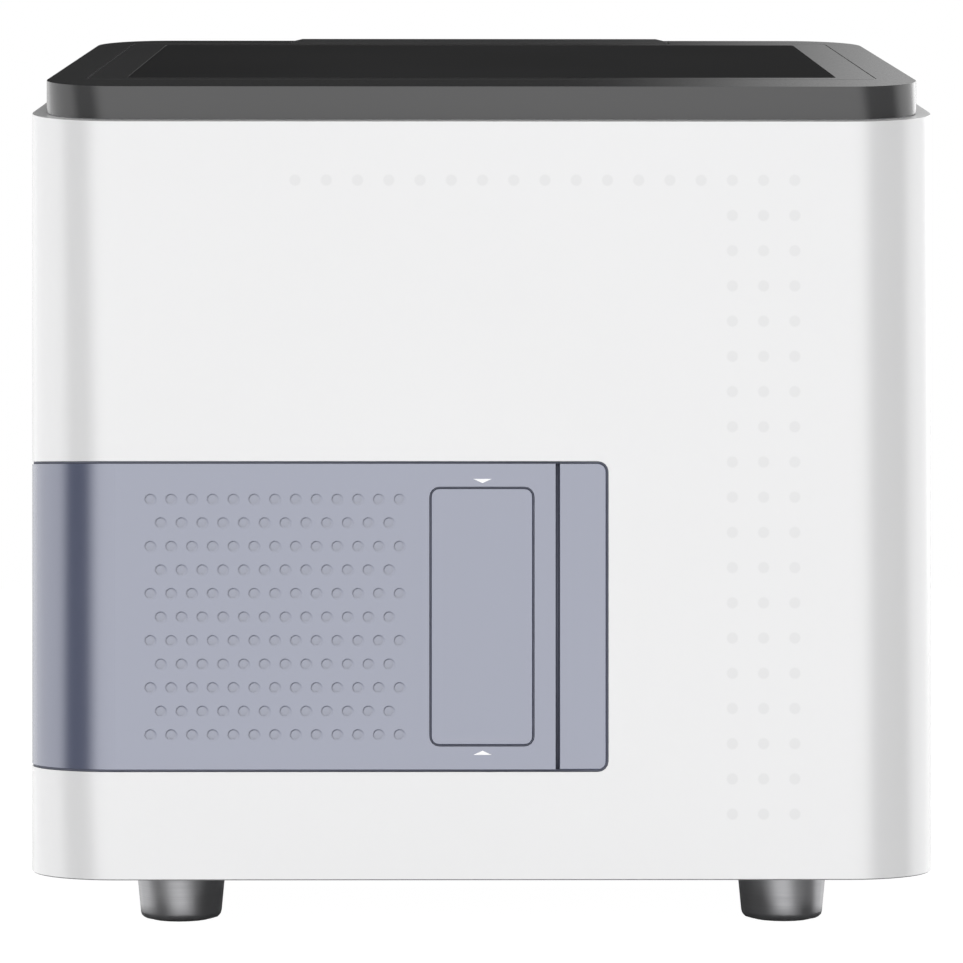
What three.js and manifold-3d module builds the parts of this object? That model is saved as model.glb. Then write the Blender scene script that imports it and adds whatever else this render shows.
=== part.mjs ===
// A table-top chemiluminescence immunoassay analyzer. A white moulded housing carries a dark
// sloping top with a flush touch display. A door that wraps round the left front corner opens
// on a knuckle hinge, and a motor-driven card tray runs out behind it.
// Millimetres, +Z up. The front faces -Y, and the origin is the middle of the footprint.
import * as THREE from 'three';
import { mergeVertices } from 'three/addons/utils/BufferGeometryUtils.js';
import Module from 'manifold-3d';

// Fits shared by the whole machine
const clearance = 0.3;
const runningGap = 0.5;
const overrun = 6;
const bodySteps = 5;
const smallSteps = 2;
const slotSteps = 1;
const rodSides = 14;
const hubSides = 20;

// Touch display: its screen sets the width and depth of the machine
const screenWidth = 217.5;
const screenDepth = 133.9;
const screenGap = 0.15;
const bezelSide = 11.9;
const bezelFrontBand = 6.3;
const bezelBackBand = 5.8;
const bezelThickness = 2;
const bezelSetback = 25.2;
const bezelCorner = 3;
const lcdBorder = 4;
const lcdThickness = 5;
const bracketWall = 1.5;
const bracketWindowShare = 0.36;

// Housing
const bodyCorner = 28;
const wall = 3;
const bodyFrontHeight = 224.6;
const deckSlopeDegrees = 11.7;
const shoulder = 4.35;
const rimWidth = 8;
const deckSide = 11.7;

// Feet
const footHeight = 15.85;
const footTopRadius = 13.75;
const footBottomRadius = 12.4;
const footEdge = 2;
const footSideInset = 44.7;
const footInset = 34;
const footPadRadius = 9.4;
const footPadThickness = 3;
const footLip = 0.4;
const studRadius = 3;
const footSides = 18;
const footEdgeShares = [0.33, 0.66, 1];

// Base plate
const baseThickness = 2.5;
const baseRise = 1;
const baseSlotLength = 34;
const baseSlotWidth = 3;
const baseSlotPitch = 8;
const baseSlotCount = 4;

// Top cover and the low cap along its back edge
const lidRise = 10;
const lidWall = 3;
const lidRimDepth = 5;
const lidRimWall = 2;
const capWidth = 132.4;
const capDepth = 11.7;
const capRise = 0.9;
const capSeat = 1.2;
const capEnd = 4;
const capInset = 0.1;

// Door and its surround
const openingBottom = 47.66;
const openingRight = 22.96;
const panelGap = 0.75;
const grooveWidth = 1.2;
const panelCorner = 2.4;
const stripWidth = 13.75;
const stripThickness = 1.6;
const doorWall = 3;
const doorFlange = 4.5;
const doorFlangeWall = 2;
const hingeSetback = 60;
const knuckleRadius = 3.5;
const knuckleHeight = 11;
const pinRadius = 1.3;
const dimpleDiameter = 3.1;
const dimpleDepth = 0.9;
const dimplePitch = 6.15;
const dimpleRowPitch = 6.98;
const dimpleEndGap = 9.7;
const dimpleCornerGap = 6;
const dimpleSides = 7;

// Release pad
const padWidth = 30;
const padHeight = 75.8;
const padEndBand = 7.4;
const padSideBand = 6.83;
const padThickness = 2.2;
const padTravel = 2;
const padGap = 0.6;
const pocketWall = 1.5;
const postRadius = 2;
const postSpacing = 56;
const postLength = 4.9;
const switchBoardWidth = 20;
const switchBoardHeight = 26;
const switchBoardThickness = 1.2;
const switchButton = 6;

// Door catch
const magnetWidth = 10;
const magnetHeight = 16;
const magnetThickness = 4.6;
const magnetLeft = 30;
const magnetDrop = 6.5;
const catchThickness = 1;

// Card bay
const bayDepth = 10;
const bayWall = 2.5;
const bayLap = 3.5;
const bayBehindHinge = 6;
const bayOpeningMargin = 2;
const bayOpeningHeight = 56;

// Card tray
const trayInset = 8.96;
const trayBottom = 60;
const traySetback = 17.5;
const trayFasciaHeight = 28;
const trayFasciaThickness = 2.5;
const trayEndGap = 12.5;
const trayBodyRise = 3.5;
const trayBodyHeight = 20;
const cardCount = 4;
const cardWidth = 20;
const cardSpacing = 4.8;
const cardEndWall = 9;
const cardDepth = 11;
const cardCorner = 2;
const notchRadius = 8;
const tongueLength = 42;
const tongueWidth = 3;
const tongueHeight = 4;
const gripWidth = 60;
const gripHeight = 9;
const gripDepth = 1.2;

// Tray drive
const railWidth = 6.5;
const screwRadius = 3;
const screwDrop = 9.5;
const screwBearingWidth = 16;
const screwBearingLength = 6;
const nutLength = 14;
const nutWidth = 18;
const nutInset = 11.5;
const motorSize = 28;
const motorLength = 30;
const motorRearGap = 15.1;
const motorBoss = 11;

// Chassis shelf
const sheet = 2;
const shelfSide = 12;
const shelfFront = 17;
const motorPlateRise = 20;

// Incubator and light detector
const hoodEndGap = 4.2;
const hoodHeight = 14;
const detectorWidth = 38;
const detectorLength = 40;
const detectorHeight = 30;
const tubeRadius = 9;
const tubeLength = 44;

// Electronics
const supplySideGap = 9;
const supplyLength = 60;
const supplyHeight = 33;
const supplyFrontGap = 8;
const moduleGap = 10.7;
const boardThickness = 1.6;
const boardRise = 7;
const bossRadius = 3;
const chipSize = 22;
const chipHeight = 8;
const chipShares = [0.3, 0.7];

// Rear panel
const rearSideBand = 36.7;
const rearHeight = 180;
const rearBottom = 25.6;
const rearCorner = 6;
const rearLap = 6;
const rearThickness = 1.5;
const fanSize = 60;
const fanThickness = 15;
const fanBore = 28;
const fanInset = 50;
const fanDrop = 45.6;
const fanHub = 11;
const fanBlades = 7;
const bladeThickness = 1.6;
const bladeTilt = 38;
const chordShare = 1.15;
const strutWidth = 4;
const strutThickness = 2.5;
const axleRadius = 1.5;
const grilleRadius = 26;
const grilleSlot = 4;
const grillePitch = 7;
const ventWidth = 60;
const ventInset = 15;
const ventCount = 9;

// Sockets and switch on the rear panel
const socketRise = 16;
const flangeThickness = 2;
const flangeLap = 2;
const inletInset = 20;
const inletWidth = 28;
const inletHeight = 20;
const inletLength = 22;
const inletWall = 2;
const inletRecess = 15;
const pinWidth = 2;
const pinHeight = 5;
const pinLength = 9.5;
const switchSpacing = 28;
const switchWidth = 14;
const switchHeight = 20;
const switchLength = 15;
const switchWall = 1.5;
const rockerDepth = 6;
const rockerTilt = 8;
const usbWidth = 13;
const usbHeight = 6.2;
const usbLength = 14;
const usbWall = 0.6;
const usbShares = [0.2, 0.44];
const lanWidth = 16;
const lanHeight = 13.5;
const lanLength = 18;
const lanWall = 1.5;
const lanShare = 0.71;

// Places worked out from the sizes above
const bezelWidth = screenWidth + bezelSide * 2;
const bezelDepth = bezelFrontBand + screenDepth + bezelBackBand;
const bodyWidth = bezelWidth + (deckSide + shoulder) * 2;
const rearDeckBand = clearance + capDepth + capInset + lidWall;
const bodyDepth = shoulder + bezelSetback + bezelDepth + rearDeckBand + shoulder;
const front = -bodyDepth / 2;
const back = bodyDepth / 2;
const left = -bodyWidth / 2;
const bodyBottom = footHeight;
const bodyFrontTop = bodyBottom + bodyFrontHeight;
const slope = Math.tan(THREE.MathUtils.degToRad(deckSlopeDegrees));
const deckHeight = (y) => bodyFrontTop + (y - front) * slope;
const baseBottom = bodyBottom + baseRise;
const baseTop = baseBottom + baseThickness;
const doorBottom = openingBottom + panelGap;
const doorTop = doorBottom + padEndBand * 2 + padHeight;
const openingTop = doorTop + panelGap;
const doorMiddle = (doorBottom + doorTop) / 2;
const doorRight = openingRight - grooveWidth;
const padRight = doorRight - padSideBand;
const padLeft = padRight - padWidth;
const padCentre = (padLeft + padRight) / 2;
const hingeX = left + knuckleRadius;
const hingeY = front + hingeSetback;
const openingBack = hingeY + knuckleRadius + panelGap;
const bayBottom = openingBottom - bayLap;
const bayTop = openingTop + bayLap;
const bayFloor = bayBottom + bayWall;
const bayCeiling = bayTop - bayWall;
const bayBack = hingeY + bayBehindHinge;
const bayFront = front + bayDepth;
const bayRight = openingRight + runningGap + bayWall;
const panelOuter = back - wall - clearance;
const panelInner = panelOuter - rearThickness;
const motorBack = panelInner - motorRearGap;
const motorFront = motorBack - motorLength;
const screwBack = motorFront - clearance;
const motorPlateY = screwBack - sheet;
const railBack = motorPlateY - clearance;
const trayRight = openingRight - trayInset;
const trayLeft = trayRight - cardCount * cardWidth - (cardCount + 1) * cardSpacing;
const trayCentre = (trayLeft + trayRight) / 2;
const trayFront = front + traySetback;
const trayBodyFront = trayFront + trayFasciaThickness;
const trayBack = railBack - trayEndGap;
const trayBodyBottom = trayBottom + trayBodyRise;
const trayDeck = trayBodyBottom + trayBodyHeight;
const tongueMiddle = (trayBodyBottom + trayDeck) / 2;
const shelfBottom = bayFloor + clearance;
const shelfTop = shelfBottom + sheet;
const railFront = trayBodyFront + bayWall;
const railTop = trayDeck + runningGap;
const screwZ = trayBodyBottom - screwDrop;
const hoodBottom = railTop + clearance;
const hoodTop = hoodBottom + hoodHeight;
const hoodFront = bayBack + clearance;
const hoodBack = railBack - hoodEndGap;
const shelfLeft = trayLeft - shelfSide;
const shelfRight = trayRight + runningGap + railWidth + clearance;
const rearWidth = bodyWidth - rearSideBand * 2;
const fanCentre = fanInset - rearWidth / 2;
const fanHeight = rearBottom + rearHeight - fanDrop;
const inletCentre = inletInset - rearWidth / 2;
const switchCentre = inletCentre + switchSpacing;
const socketHeight = screwZ + motorSize / 2 + socketRise;
const ventCentre = rearWidth / 2 - ventInset - ventWidth / 2;

const wasm = await Module();
wasm.setup();

function material(color, roughness, metalness = 0) {
  return new THREE.MeshStandardMaterial({ color, roughness, metalness });
}

const whiteShell = material(0xf1f1f1, 0.42);
const darkShell = material(0x4b4b4d, 0.38);
const blueGrey = material(0xa5a9b6, 0.4);
const darkPlastic = material(0x2e3036, 0.55);
const blackPlastic = material(0x17181a, 0.5);
const screenGlass = material(0x1c1c1e, 0.08);
const polishedSteel = material(0xc9cacc, 0.22, 1);
const sheetSteel = material(0xb4b6b8, 0.4, 1);
const castAluminium = material(0xa8abae, 0.45, 1);
const rubber = material(0x222222, 0.85);
const boardGreen = material(0x1f5a3c, 0.6);

function solidOf(geometry) {
  const plain = geometry.clone();
  plain.deleteAttribute('normal');
  plain.deleteAttribute('uv');
  const merged = mergeVertices(plain);
  return new wasm.Manifold(new wasm.Mesh({
    numProp: 3,
    vertProperties: Float32Array.from(merged.attributes.position.array),
    triVerts: Uint32Array.from(merged.index.array),
  }));
}

function geometryOf(solid) {
  const mesh = solid.getMesh();
  const geometry = new THREE.BufferGeometry();
  geometry.setAttribute('position', new THREE.BufferAttribute(mesh.vertProperties, 3));
  geometry.setIndex(new THREE.BufferAttribute(mesh.triVerts, 1));
  return geometry;
}

function combine(base, others, operation) {
  let solid = solidOf(base);
  for (const other of others) {
    solid = solid[operation](solidOf(other));
  }
  return geometryOf(solid);
}

const join = (base, ...others) => combine(base, others, 'add');
const cut = (base, ...others) => combine(base, others, 'subtract');
const common = (base, other) => combine(base, [other], 'intersect');

// Shapes and simple solids
function roundedShape(x0, x1, y0, y1, radius) {
  const shape = new THREE.Shape();
  shape.absarc(x1 - radius, y0 + radius, radius, -Math.PI / 2, 0, false);
  shape.absarc(x1 - radius, y1 - radius, radius, 0, Math.PI / 2, false);
  shape.absarc(x0 + radius, y1 - radius, radius, Math.PI / 2, Math.PI, false);
  shape.absarc(x0 + radius, y0 + radius, radius, Math.PI, Math.PI * 1.5, false);
  return shape;
}

const bodyShape = (inset) => roundedShape(
  left + inset, -left - inset, front + inset, back - inset, Math.max(bodyCorner - inset, clearance));

function block(x0, x1, y0, y1, z0, z1) {
  const geometry = new THREE.BoxGeometry(x1 - x0, y1 - y0, z1 - z0);
  return geometry.translate((x0 + x1) / 2, (y0 + y1) / 2, (z0 + z1) / 2);
}

function slab(shape, z0, z1, steps = bodySteps) {
  const geometry = new THREE.ExtrudeGeometry(shape, {
    depth: z1 - z0, bevelEnabled: false, curveSegments: steps,
  });
  return geometry.translate(0, 0, z0);
}

// A plate drawn as seen from the front, in X and Z, from y0 back to y1
function frontPlate(shape, y0, y1, steps = smallSteps) {
  return slab(shape, 0, y1 - y0, steps).rotateX(Math.PI / 2).translate(0, y1, 0);
}

function frontBlock(x0, x1, z0, z1, radius, y0, y1, steps = smallSteps) {
  return frontPlate(roundedShape(x0, x1, z0, z1, radius), y0, y1, steps);
}

function rodZ(radius, x, y, z0, z1, sides = rodSides) {
  const geometry = new THREE.CylinderGeometry(radius, radius, z1 - z0, sides).rotateX(Math.PI / 2);
  return geometry.translate(x, y, (z0 + z1) / 2);
}

function rodY(radius, x, z, y0, y1, sides = rodSides) {
  const geometry = new THREE.CylinderGeometry(radius, radius, y1 - y0, sides);
  return geometry.translate(x, (y0 + y1) / 2, z);
}

function rodX(radius, y, z, x0, x1, sides = rodSides) {
  const geometry = new THREE.CylinderGeometry(radius, radius, x1 - x0, sides).rotateZ(Math.PI / 2);
  return geometry.translate((x0 + x1) / 2, y, z);
}

// A slab from a flat bottom up to a plane that slopes with the deck
function slopedSlab(shape, z0, lift) {
  const geometry = slab(shape, 0, 1);
  const position = geometry.attributes.position;
  for (let i = 0; i < position.count; i += 1) {
    const top = deckHeight(position.getY(i)) + lift;
    position.setZ(i, position.getZ(i) > 0 ? top : z0);
  }
  return geometry;
}

// Leans a piece drawn level at height zero so that it lies along the deck
function alongDeck(geometry) {
  const lean = new THREE.Matrix4().set(
    1, 0, 0, 0,
    0, 1, 0, 0,
    0, slope, 1, bodyFrontTop - front * slope,
    0, 0, 0, 1,
  );
  return geometry.applyMatrix4(lean);
}

const deckSlab = (shape, lift0, lift1, steps = bodySteps) => alongDeck(slab(shape, lift0, lift1, steps));

const analyzer = new THREE.Group();

function add(name, geometry, surface) {
  const mesh = new THREE.Mesh(geometry, surface);
  mesh.name = name;
  analyzer.add(mesh);
}

function housingShell() {
  const outer = slopedSlab(bodyShape(0), bodyBottom, 0);
  const hollow = slopedSlab(bodyShape(wall), bodyBottom - overrun, -wall);
  const lidHole = slopedSlab(bodyShape(shoulder + rimWidth), bodyBottom, overrun);
  const doorHole = block(left - overrun, openingRight, front - overrun, openingBack,
    openingBottom, openingTop);
  const stripRight = openingRight + stripWidth + panelGap;
  const stripSeat = frontBlock(openingRight - overrun, stripRight, openingBottom, openingTop,
    panelCorner + panelGap, front - overrun, front + stripThickness + clearance);
  const rearHole = frontBlock(-rearWidth / 2, rearWidth / 2, rearBottom, rearBottom + rearHeight,
    rearCorner, back - wall - overrun, back + overrun);
  return cut(outer, hollow, lidHole, doorHole, stripSeat, rearHole);
}

const footPlaces = [
  ['front_left', -1, front + footInset],
  ['front_right', 1, front + footInset],
  ['rear_left', -1, back - footInset],
  ['rear_right', 1, back - footInset],
];
const footX = bodyWidth / 2 - footSideInset;

function revolve(points) {
  const profile = points.map(([radius, height]) => new THREE.Vector2(radius, height));
  return new THREE.LatheGeometry(profile, footSides).rotateX(Math.PI / 2);
}

function footProfile() {
  const recess = footPadRadius + clearance;
  const topZ = footHeight + baseRise - clearance;
  const points = [[0, footPadThickness + clearance], [recess, footPadThickness + clearance],
    [recess, footLip], [footBottomRadius - footEdge, footLip]];
  for (const share of footEdgeShares) {
    const turn = share * Math.PI / 2;
    points.push([footBottomRadius - footEdge + footEdge * Math.sin(turn),
      footLip + footEdge - footEdge * Math.cos(turn)]);
  }
  points.push([footTopRadius, topZ], [studRadius, topZ], [studRadius, baseTop], [0, baseTop]);
  return points;
}

function addFeet() {
  for (const [place, side, y] of footPlaces) {
    add(`foot_${place}`, revolve(footProfile()).translate(side * footX, y, 0), polishedSteel);
    add(`foot_pad_${place}`, rodZ(footPadRadius, side * footX, y, 0, footPadThickness, footSides),
      rubber);
  }
}

function basePlate() {
  const plate = slab(bodyShape(wall + clearance), baseBottom, baseTop);
  const bosses = boardCorners().map(([x, y]) => rodZ(bossRadius, x, y,
    baseTop - baseThickness / 2, baseTop + boardRise - clearance, dimpleSides));
  const holes = footPlaces.map(([, side, y]) => rodZ(studRadius + clearance, side * footX, y,
    baseBottom - overrun, baseTop + overrun));
  for (let i = 0; i < baseSlotCount; i += 1) {
    const y = (i - (baseSlotCount - 1) / 2) * baseSlotPitch;
    for (const side of [-1, 1]) {
      const x = side * footX;
      holes.push(slab(roundedShape(x - baseSlotLength / 2, x + baseSlotLength / 2,
        y - baseSlotWidth / 2, y + baseSlotWidth / 2, baseSlotWidth / 2 - clearance / 2),
      baseBottom - overrun, baseTop + overrun, slotSteps));
    }
  }
  return cut(join(plate, ...bosses), ...holes);
}

// The display lies in the deck: its panel, glass, screen module and bracket share these edges
const lidFront = front + shoulder;
const bezelFront = lidFront + bezelSetback;
const screenFront = bezelFront + bezelFrontBand;
const bezelShape = (gap) => roundedShape(-bezelWidth / 2 - gap, bezelWidth / 2 + gap,
  bezelFront - gap, bezelFront + bezelDepth + gap, bezelCorner + gap);
const screenShape = (gap) => roundedShape(-screenWidth / 2 - gap, screenWidth / 2 + gap,
  screenFront - gap, screenFront + screenDepth + gap, bezelCorner / 2);
const lcdTop = lidRise - bezelThickness - clearance;
const lcdBottom = lcdTop - lcdThickness;

const capBack = back - shoulder - lidWall - capInset;
const capFront = capBack - capDepth;

// The cap rises from flush along its front to its full height at the back, with sloped ends
function rearCap() {
  const half = capWidth / 2;
  const bottom = lidRise - capSeat;
  const ends = new THREE.Shape();
  ends.moveTo(-half, bottom);
  ends.lineTo(half, bottom);
  ends.lineTo(half, lidRise);
  ends.lineTo(half - capEnd, lidRise + capRise);
  ends.lineTo(-half + capEnd, lidRise + capRise);
  ends.lineTo(-half, lidRise);
  const wedge = new THREE.Shape();
  wedge.moveTo(capFront, bottom - overrun);
  wedge.lineTo(capBack, bottom - overrun);
  wedge.lineTo(capBack, lidRise + capRise);
  wedge.lineTo(capFront, lidRise);
  const across = slab(wedge, -capWidth, capWidth).rotateX(Math.PI / 2).rotateZ(Math.PI / 2);
  return alongDeck(common(frontPlate(ends, capFront - overrun, capBack + overrun), across));
}

function topCover() {
  const rim = shoulder + rimWidth + clearance;
  const skirt = deckSlab(bodyShape(shoulder), clearance, lidRise);
  const hollow = deckSlab(bodyShape(shoulder + lidWall), -overrun, lidRise - lidWall);
  const spigot = cut(deckSlab(bodyShape(rim), -lidRimDepth, lidRise - lidWall / 2),
    deckSlab(bodyShape(rim + lidRimWall), -lidRimDepth - overrun, lidRise));
  const bezelSeat = deckSlab(bezelShape(clearance), lcdTop, lidRise + overrun, smallSteps);
  const lcdHole = deckSlab(screenShape(lcdBorder + clearance), -overrun, lidRise, slotSteps);
  const capSeatCut = alongDeck(frontBlock(-capWidth / 2 - clearance, capWidth / 2 + clearance,
    lidRise - capSeat - clearance, lidRise + overrun, clearance,
    capFront - clearance, capBack + clearance));
  return cut(join(cut(skirt, hollow), spigot), bezelSeat, lcdHole, capSeatCut);
}

function lcdBracket() {
  const border = lcdBorder + clearance + bracketWall;
  const floor = lcdBottom - clearance - bracketWall;
  const top = lidRise - lidWall - clearance;
  const tray = deckSlab(screenShape(border), floor, top, slotSteps);
  const pocket = deckSlab(screenShape(lcdBorder + clearance), lcdBottom - clearance, top + overrun,
    slotSteps);
  const windows = [-1, 1].map((side) => {
    const middle = side * screenWidth / 4;
    const half = bracketWindowShare * screenWidth / 2;
    const near = screenFront + screenDepth * (1 - bracketWindowShare * 2) / 2;
    const far = screenFront + screenDepth - (near - screenFront);
    return deckSlab(roundedShape(middle - half, middle + half, near, far, bezelCorner),
      floor - overrun, lcdBottom, smallSteps);
  });
  return cut(tray, pocket, ...windows);
}

function addTop() {
  add('top_cover', topCover(), darkShell);
  add('display_bezel', cut(deckSlab(bezelShape(0), lidRise - bezelThickness, lidRise, smallSteps),
    deckSlab(screenShape(screenGap), 0, lidRise + overrun, smallSteps)), darkShell);
  add('touch_glass', deckSlab(screenShape(0), lidRise - bezelThickness, lidRise, smallSteps),
    screenGlass);
  add('lcd_panel', deckSlab(screenShape(lcdBorder), lcdBottom, lcdTop, slotSteps), blackPlastic);
  add('lcd_bracket', lcdBracket(), sheetSteel);
  add('rear_cap', rearCap(), darkShell);
}

// Door: a panel bent round the corner, with return flanges, a pocket for the pad and a knuckle
function dimplePlaces() {
  const places = [];
  const right = padLeft - dimpleEndGap;
  const columns = Math.floor((right - left - bodyCorner - dimpleCornerGap) / dimplePitch) + 1;
  const rows = Math.floor((padHeight - dimpleDiameter) / dimpleRowPitch) + 1;
  const topRow = doorMiddle + (rows - 1) / 2 * dimpleRowPitch;
  for (let row = 0; row < rows; row += 1) {
    const odd = row % 2;
    for (let i = 0; i < columns - odd; i += 1) {
      places.push([right - (i + odd / 2) * dimplePitch, topRow - row * dimpleRowPitch]);
    }
  }
  return places;
}

const padBottom = doorMiddle - padHeight / 2;
const padTop = doorMiddle + padHeight / 2;
const padBack = front + padThickness;
const pocketFloor = padBack + padTravel + runningGap + clearance;
const pocketBack = pocketFloor + pocketWall;

function padOutline(gap, y0, y1) {
  return frontBlock(padLeft - gap, padRight + gap, padBottom - gap, padTop + gap,
    panelCorner + gap, y0, y1);
}

function doorPanel() {
  const reach = block(left - overrun, doorRight, front - overrun, hingeY, doorBottom, doorTop);
  const skin = common(cut(slab(bodyShape(0), doorBottom, doorTop),
    slab(bodyShape(doorWall), doorBottom - overrun, doorTop + overrun)), reach);
  const flangeBand = common(cut(slab(bodyShape(doorWall / 2), doorBottom, doorTop),
    slab(bodyShape(doorWall + doorFlange), doorBottom - overrun, doorTop + overrun)), reach);
  const flanges = cut(flangeBand, block(left - overrun, doorRight - doorFlangeWall,
    front - overrun, hingeY + overrun, doorBottom + doorFlangeWall, doorTop - doorFlangeWall));
  const pocket = padOutline(padGap + pocketWall, front + doorWall / 2, pocketBack);
  const knuckle = rodZ(knuckleRadius, hingeX, hingeY, doorBottom + knuckleHeight + runningGap,
    doorTop - knuckleHeight - runningGap);
  return join(skin, flanges, pocket, knuckle);
}

function doorCuts() {
  const reachBack = hingeY - knuckleRadius - runningGap;
  const cuts = [padOutline(padGap, front - overrun, pocketFloor)];
  cuts.push(rodZ(pinRadius + clearance, hingeX, hingeY, doorBottom - overrun, doorTop + overrun));
  for (const [z0, z1] of [[doorBottom - overrun, doorBottom + knuckleHeight + runningGap],
    [doorTop - knuckleHeight - runningGap, doorTop + overrun]]) {
    cuts.push(block(left - overrun, hingeX + knuckleRadius + doorFlange, reachBack,
      hingeY + knuckleRadius + overrun, z0, z1));
  }
  for (const side of [-1, 1]) {
    cuts.push(rodY(postRadius + clearance, padCentre, doorMiddle + side * postSpacing / 2,
      pocketFloor - overrun / 2, pocketBack + overrun));
  }
  const hole = switchButton / 2 + clearance;
  cuts.push(block(padCentre - hole, padCentre + hole, pocketFloor - overrun / 2,
    pocketBack + overrun, doorMiddle - hole, doorMiddle + hole));
  for (const [x, z] of dimplePlaces()) {
    cuts.push(rodY(dimpleDiameter / 2, x, z, front - overrun, front + dimpleDepth, dimpleSides));
  }
  return cuts;
}

function releasePad() {
  const face = padOutline(0, front, padBack);
  const posts = [-1, 1].map((side) => rodY(postRadius, padCentre,
    doorMiddle + side * postSpacing / 2, padBack - padThickness / 2, padBack + postLength));
  return join(face, ...posts);
}

function padSwitchBoard() {
  const boardFront = pocketBack + clearance;
  const boardBack = boardFront + switchBoardThickness;
  const board = block(padCentre - switchBoardWidth / 2, padCentre + switchBoardWidth / 2,
    boardFront, boardBack, doorMiddle - switchBoardHeight / 2, doorMiddle + switchBoardHeight / 2);
  const buttonFront = padBack + padTravel + clearance;
  const button = block(padCentre - switchButton / 2, padCentre + switchButton / 2, buttonFront,
    boardFront + switchBoardThickness / 2, doorMiddle - switchButton / 2, doorMiddle + switchButton / 2);
  return join(board, button);
}

const magnetX = -magnetLeft;
const magnetTop = doorTop - magnetDrop;
const catchBack = bayFront - clearance;

function addDoor() {
  add('card_door', cut(doorPanel(), ...doorCuts()), blueGrey);
  add('release_pad', releasePad(), blueGrey);
  add('pad_switch_board', padSwitchBoard(), boardGreen);
  add('door_magnet', block(magnetX, magnetX + magnetWidth, front + doorWall + clearance,
    front + doorWall + clearance + magnetThickness, magnetTop - magnetHeight, magnetTop), sheetSteel);
  add('catch_plate', block(magnetX, magnetX + magnetWidth, catchBack - catchThickness, catchBack,
    magnetTop - magnetHeight, magnetTop), sheetSteel);
  add('hinge_pin', rodZ(pinRadius, hingeX, hingeY, doorBottom, doorTop), polishedSteel);
  const stripEnd = openingRight + stripWidth;
  const strip = cut(frontBlock(openingRight - overrun, stripEnd, doorBottom, doorTop, panelCorner,
    front, front + stripThickness), block(openingRight - overrun * 2, openingRight,
    front - overrun, front + overrun, doorBottom - overrun, doorTop + overrun));
  add('entry_strip', strip, blueGrey);
}

// Card bay: a moulded surround behind the door, with the fixed knuckles of the hinge
function bayFrame() {
  const reach = block(left - overrun, bayRight, front - overrun, bayBack, bayBottom, bayTop);
  const outside = common(slab(bodyShape(wall + clearance), bayBottom, bayTop), reach);
  const porch = common(cut(slab(bodyShape(0), bayFloor, bayCeiling),
    slab(bodyShape(bayDepth), bayBottom - overrun, bayTop + overrun)),
  block(left - overrun, bayRight - bayWall, front - overrun, bayBack + overrun, bayFloor, bayCeiling));
  const inside = common(slab(bodyShape(bayDepth + bayWall), bayFloor, bayCeiling),
    block(left, bayRight - bayWall, front, bayBack + overrun, bayFloor, bayCeiling));
  const mouth = frontBlock(trayLeft - bayOpeningMargin, trayRight + bayOpeningMargin,
    trayBottom - bayOpeningMargin, trayBottom - bayOpeningMargin + bayOpeningHeight,
    panelCorner, front, bayFront + bayWall + overrun);
  return cut(outside, porch, inside, mouth);
}

function bayKnuckles() {
  const knuckles = [];
  for (const [z0, z1] of [[doorBottom, doorBottom + knuckleHeight],
    [doorTop - knuckleHeight, doorTop]]) {
    knuckles.push(rodZ(knuckleRadius, hingeX, hingeY, z0, z1));
    knuckles.push(block(hingeX, left + bayDepth + bayWall / 2, hingeY, hingeY + knuckleRadius, z0, z1));
  }
  return knuckles;
}

function addBay() {
  const bore = rodZ(pinRadius + clearance, hingeX, hingeY, doorBottom - overrun, doorTop + overrun);
  add('bay_frame', cut(join(bayFrame(), ...bayKnuckles()), bore), darkPlastic);
}

// Card tray with its wells, side tongues and a grip in its front
function wellShape(index) {
  const x0 = trayLeft + cardSpacing + index * (cardWidth + cardSpacing);
  return roundedShape(x0, x0 + cardWidth, trayBodyFront + cardEndWall, trayBack - cardEndWall,
    cardCorner);
}

function cardTray() {
  const body = block(trayLeft, trayRight, trayBodyFront - trayFasciaThickness / 2, trayBack,
    trayBodyBottom, trayDeck);
  const fascia = frontBlock(trayLeft, trayRight, trayBottom, trayBottom + trayFasciaHeight,
    panelCorner, trayFront, trayBodyFront);
  const tongue = block(trayLeft - tongueWidth, trayRight + tongueWidth, trayBack - tongueLength,
    trayBack, tongueMiddle - tongueHeight / 2, tongueMiddle + tongueHeight / 2);
  const cuts = [];
  for (let i = 0; i < cardCount; i += 1) {
    cuts.push(slab(wellShape(i), trayDeck - cardDepth, trayDeck + overrun, smallSteps));
  }
  const grip = frontBlock(trayCentre - gripWidth / 2, trayCentre + gripWidth / 2,
    trayBottom + (trayFasciaHeight - gripHeight) / 2, trayBottom + (trayFasciaHeight + gripHeight) / 2,
    panelCorner, trayFront - overrun, trayFront + gripDepth);
  const notches = rodX(notchRadius, (trayBodyFront + trayBack) / 2, trayDeck,
    trayLeft - overrun, trayRight + overrun);
  return cut(join(body, fascia, tongue), ...cuts, grip, notches);
}

function trayRail(side) {
  const inner = side < 0 ? trayLeft - runningGap : trayRight + runningGap;
  const outer = inner + side * railWidth;
  const bar = block(Math.min(inner, outer), Math.max(inner, outer), railFront, railBack,
    shelfTop + clearance, railTop);
  const depth = inner + side * (tongueWidth + clearance);
  const groove = block(Math.min(inner - side * overrun, depth), Math.max(inner - side * overrun, depth),
    railFront - overrun, railBack + overrun, tongueMiddle - tongueHeight / 2 - clearance,
    tongueMiddle + tongueHeight / 2 + clearance);
  return cut(bar, groove);
}

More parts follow.
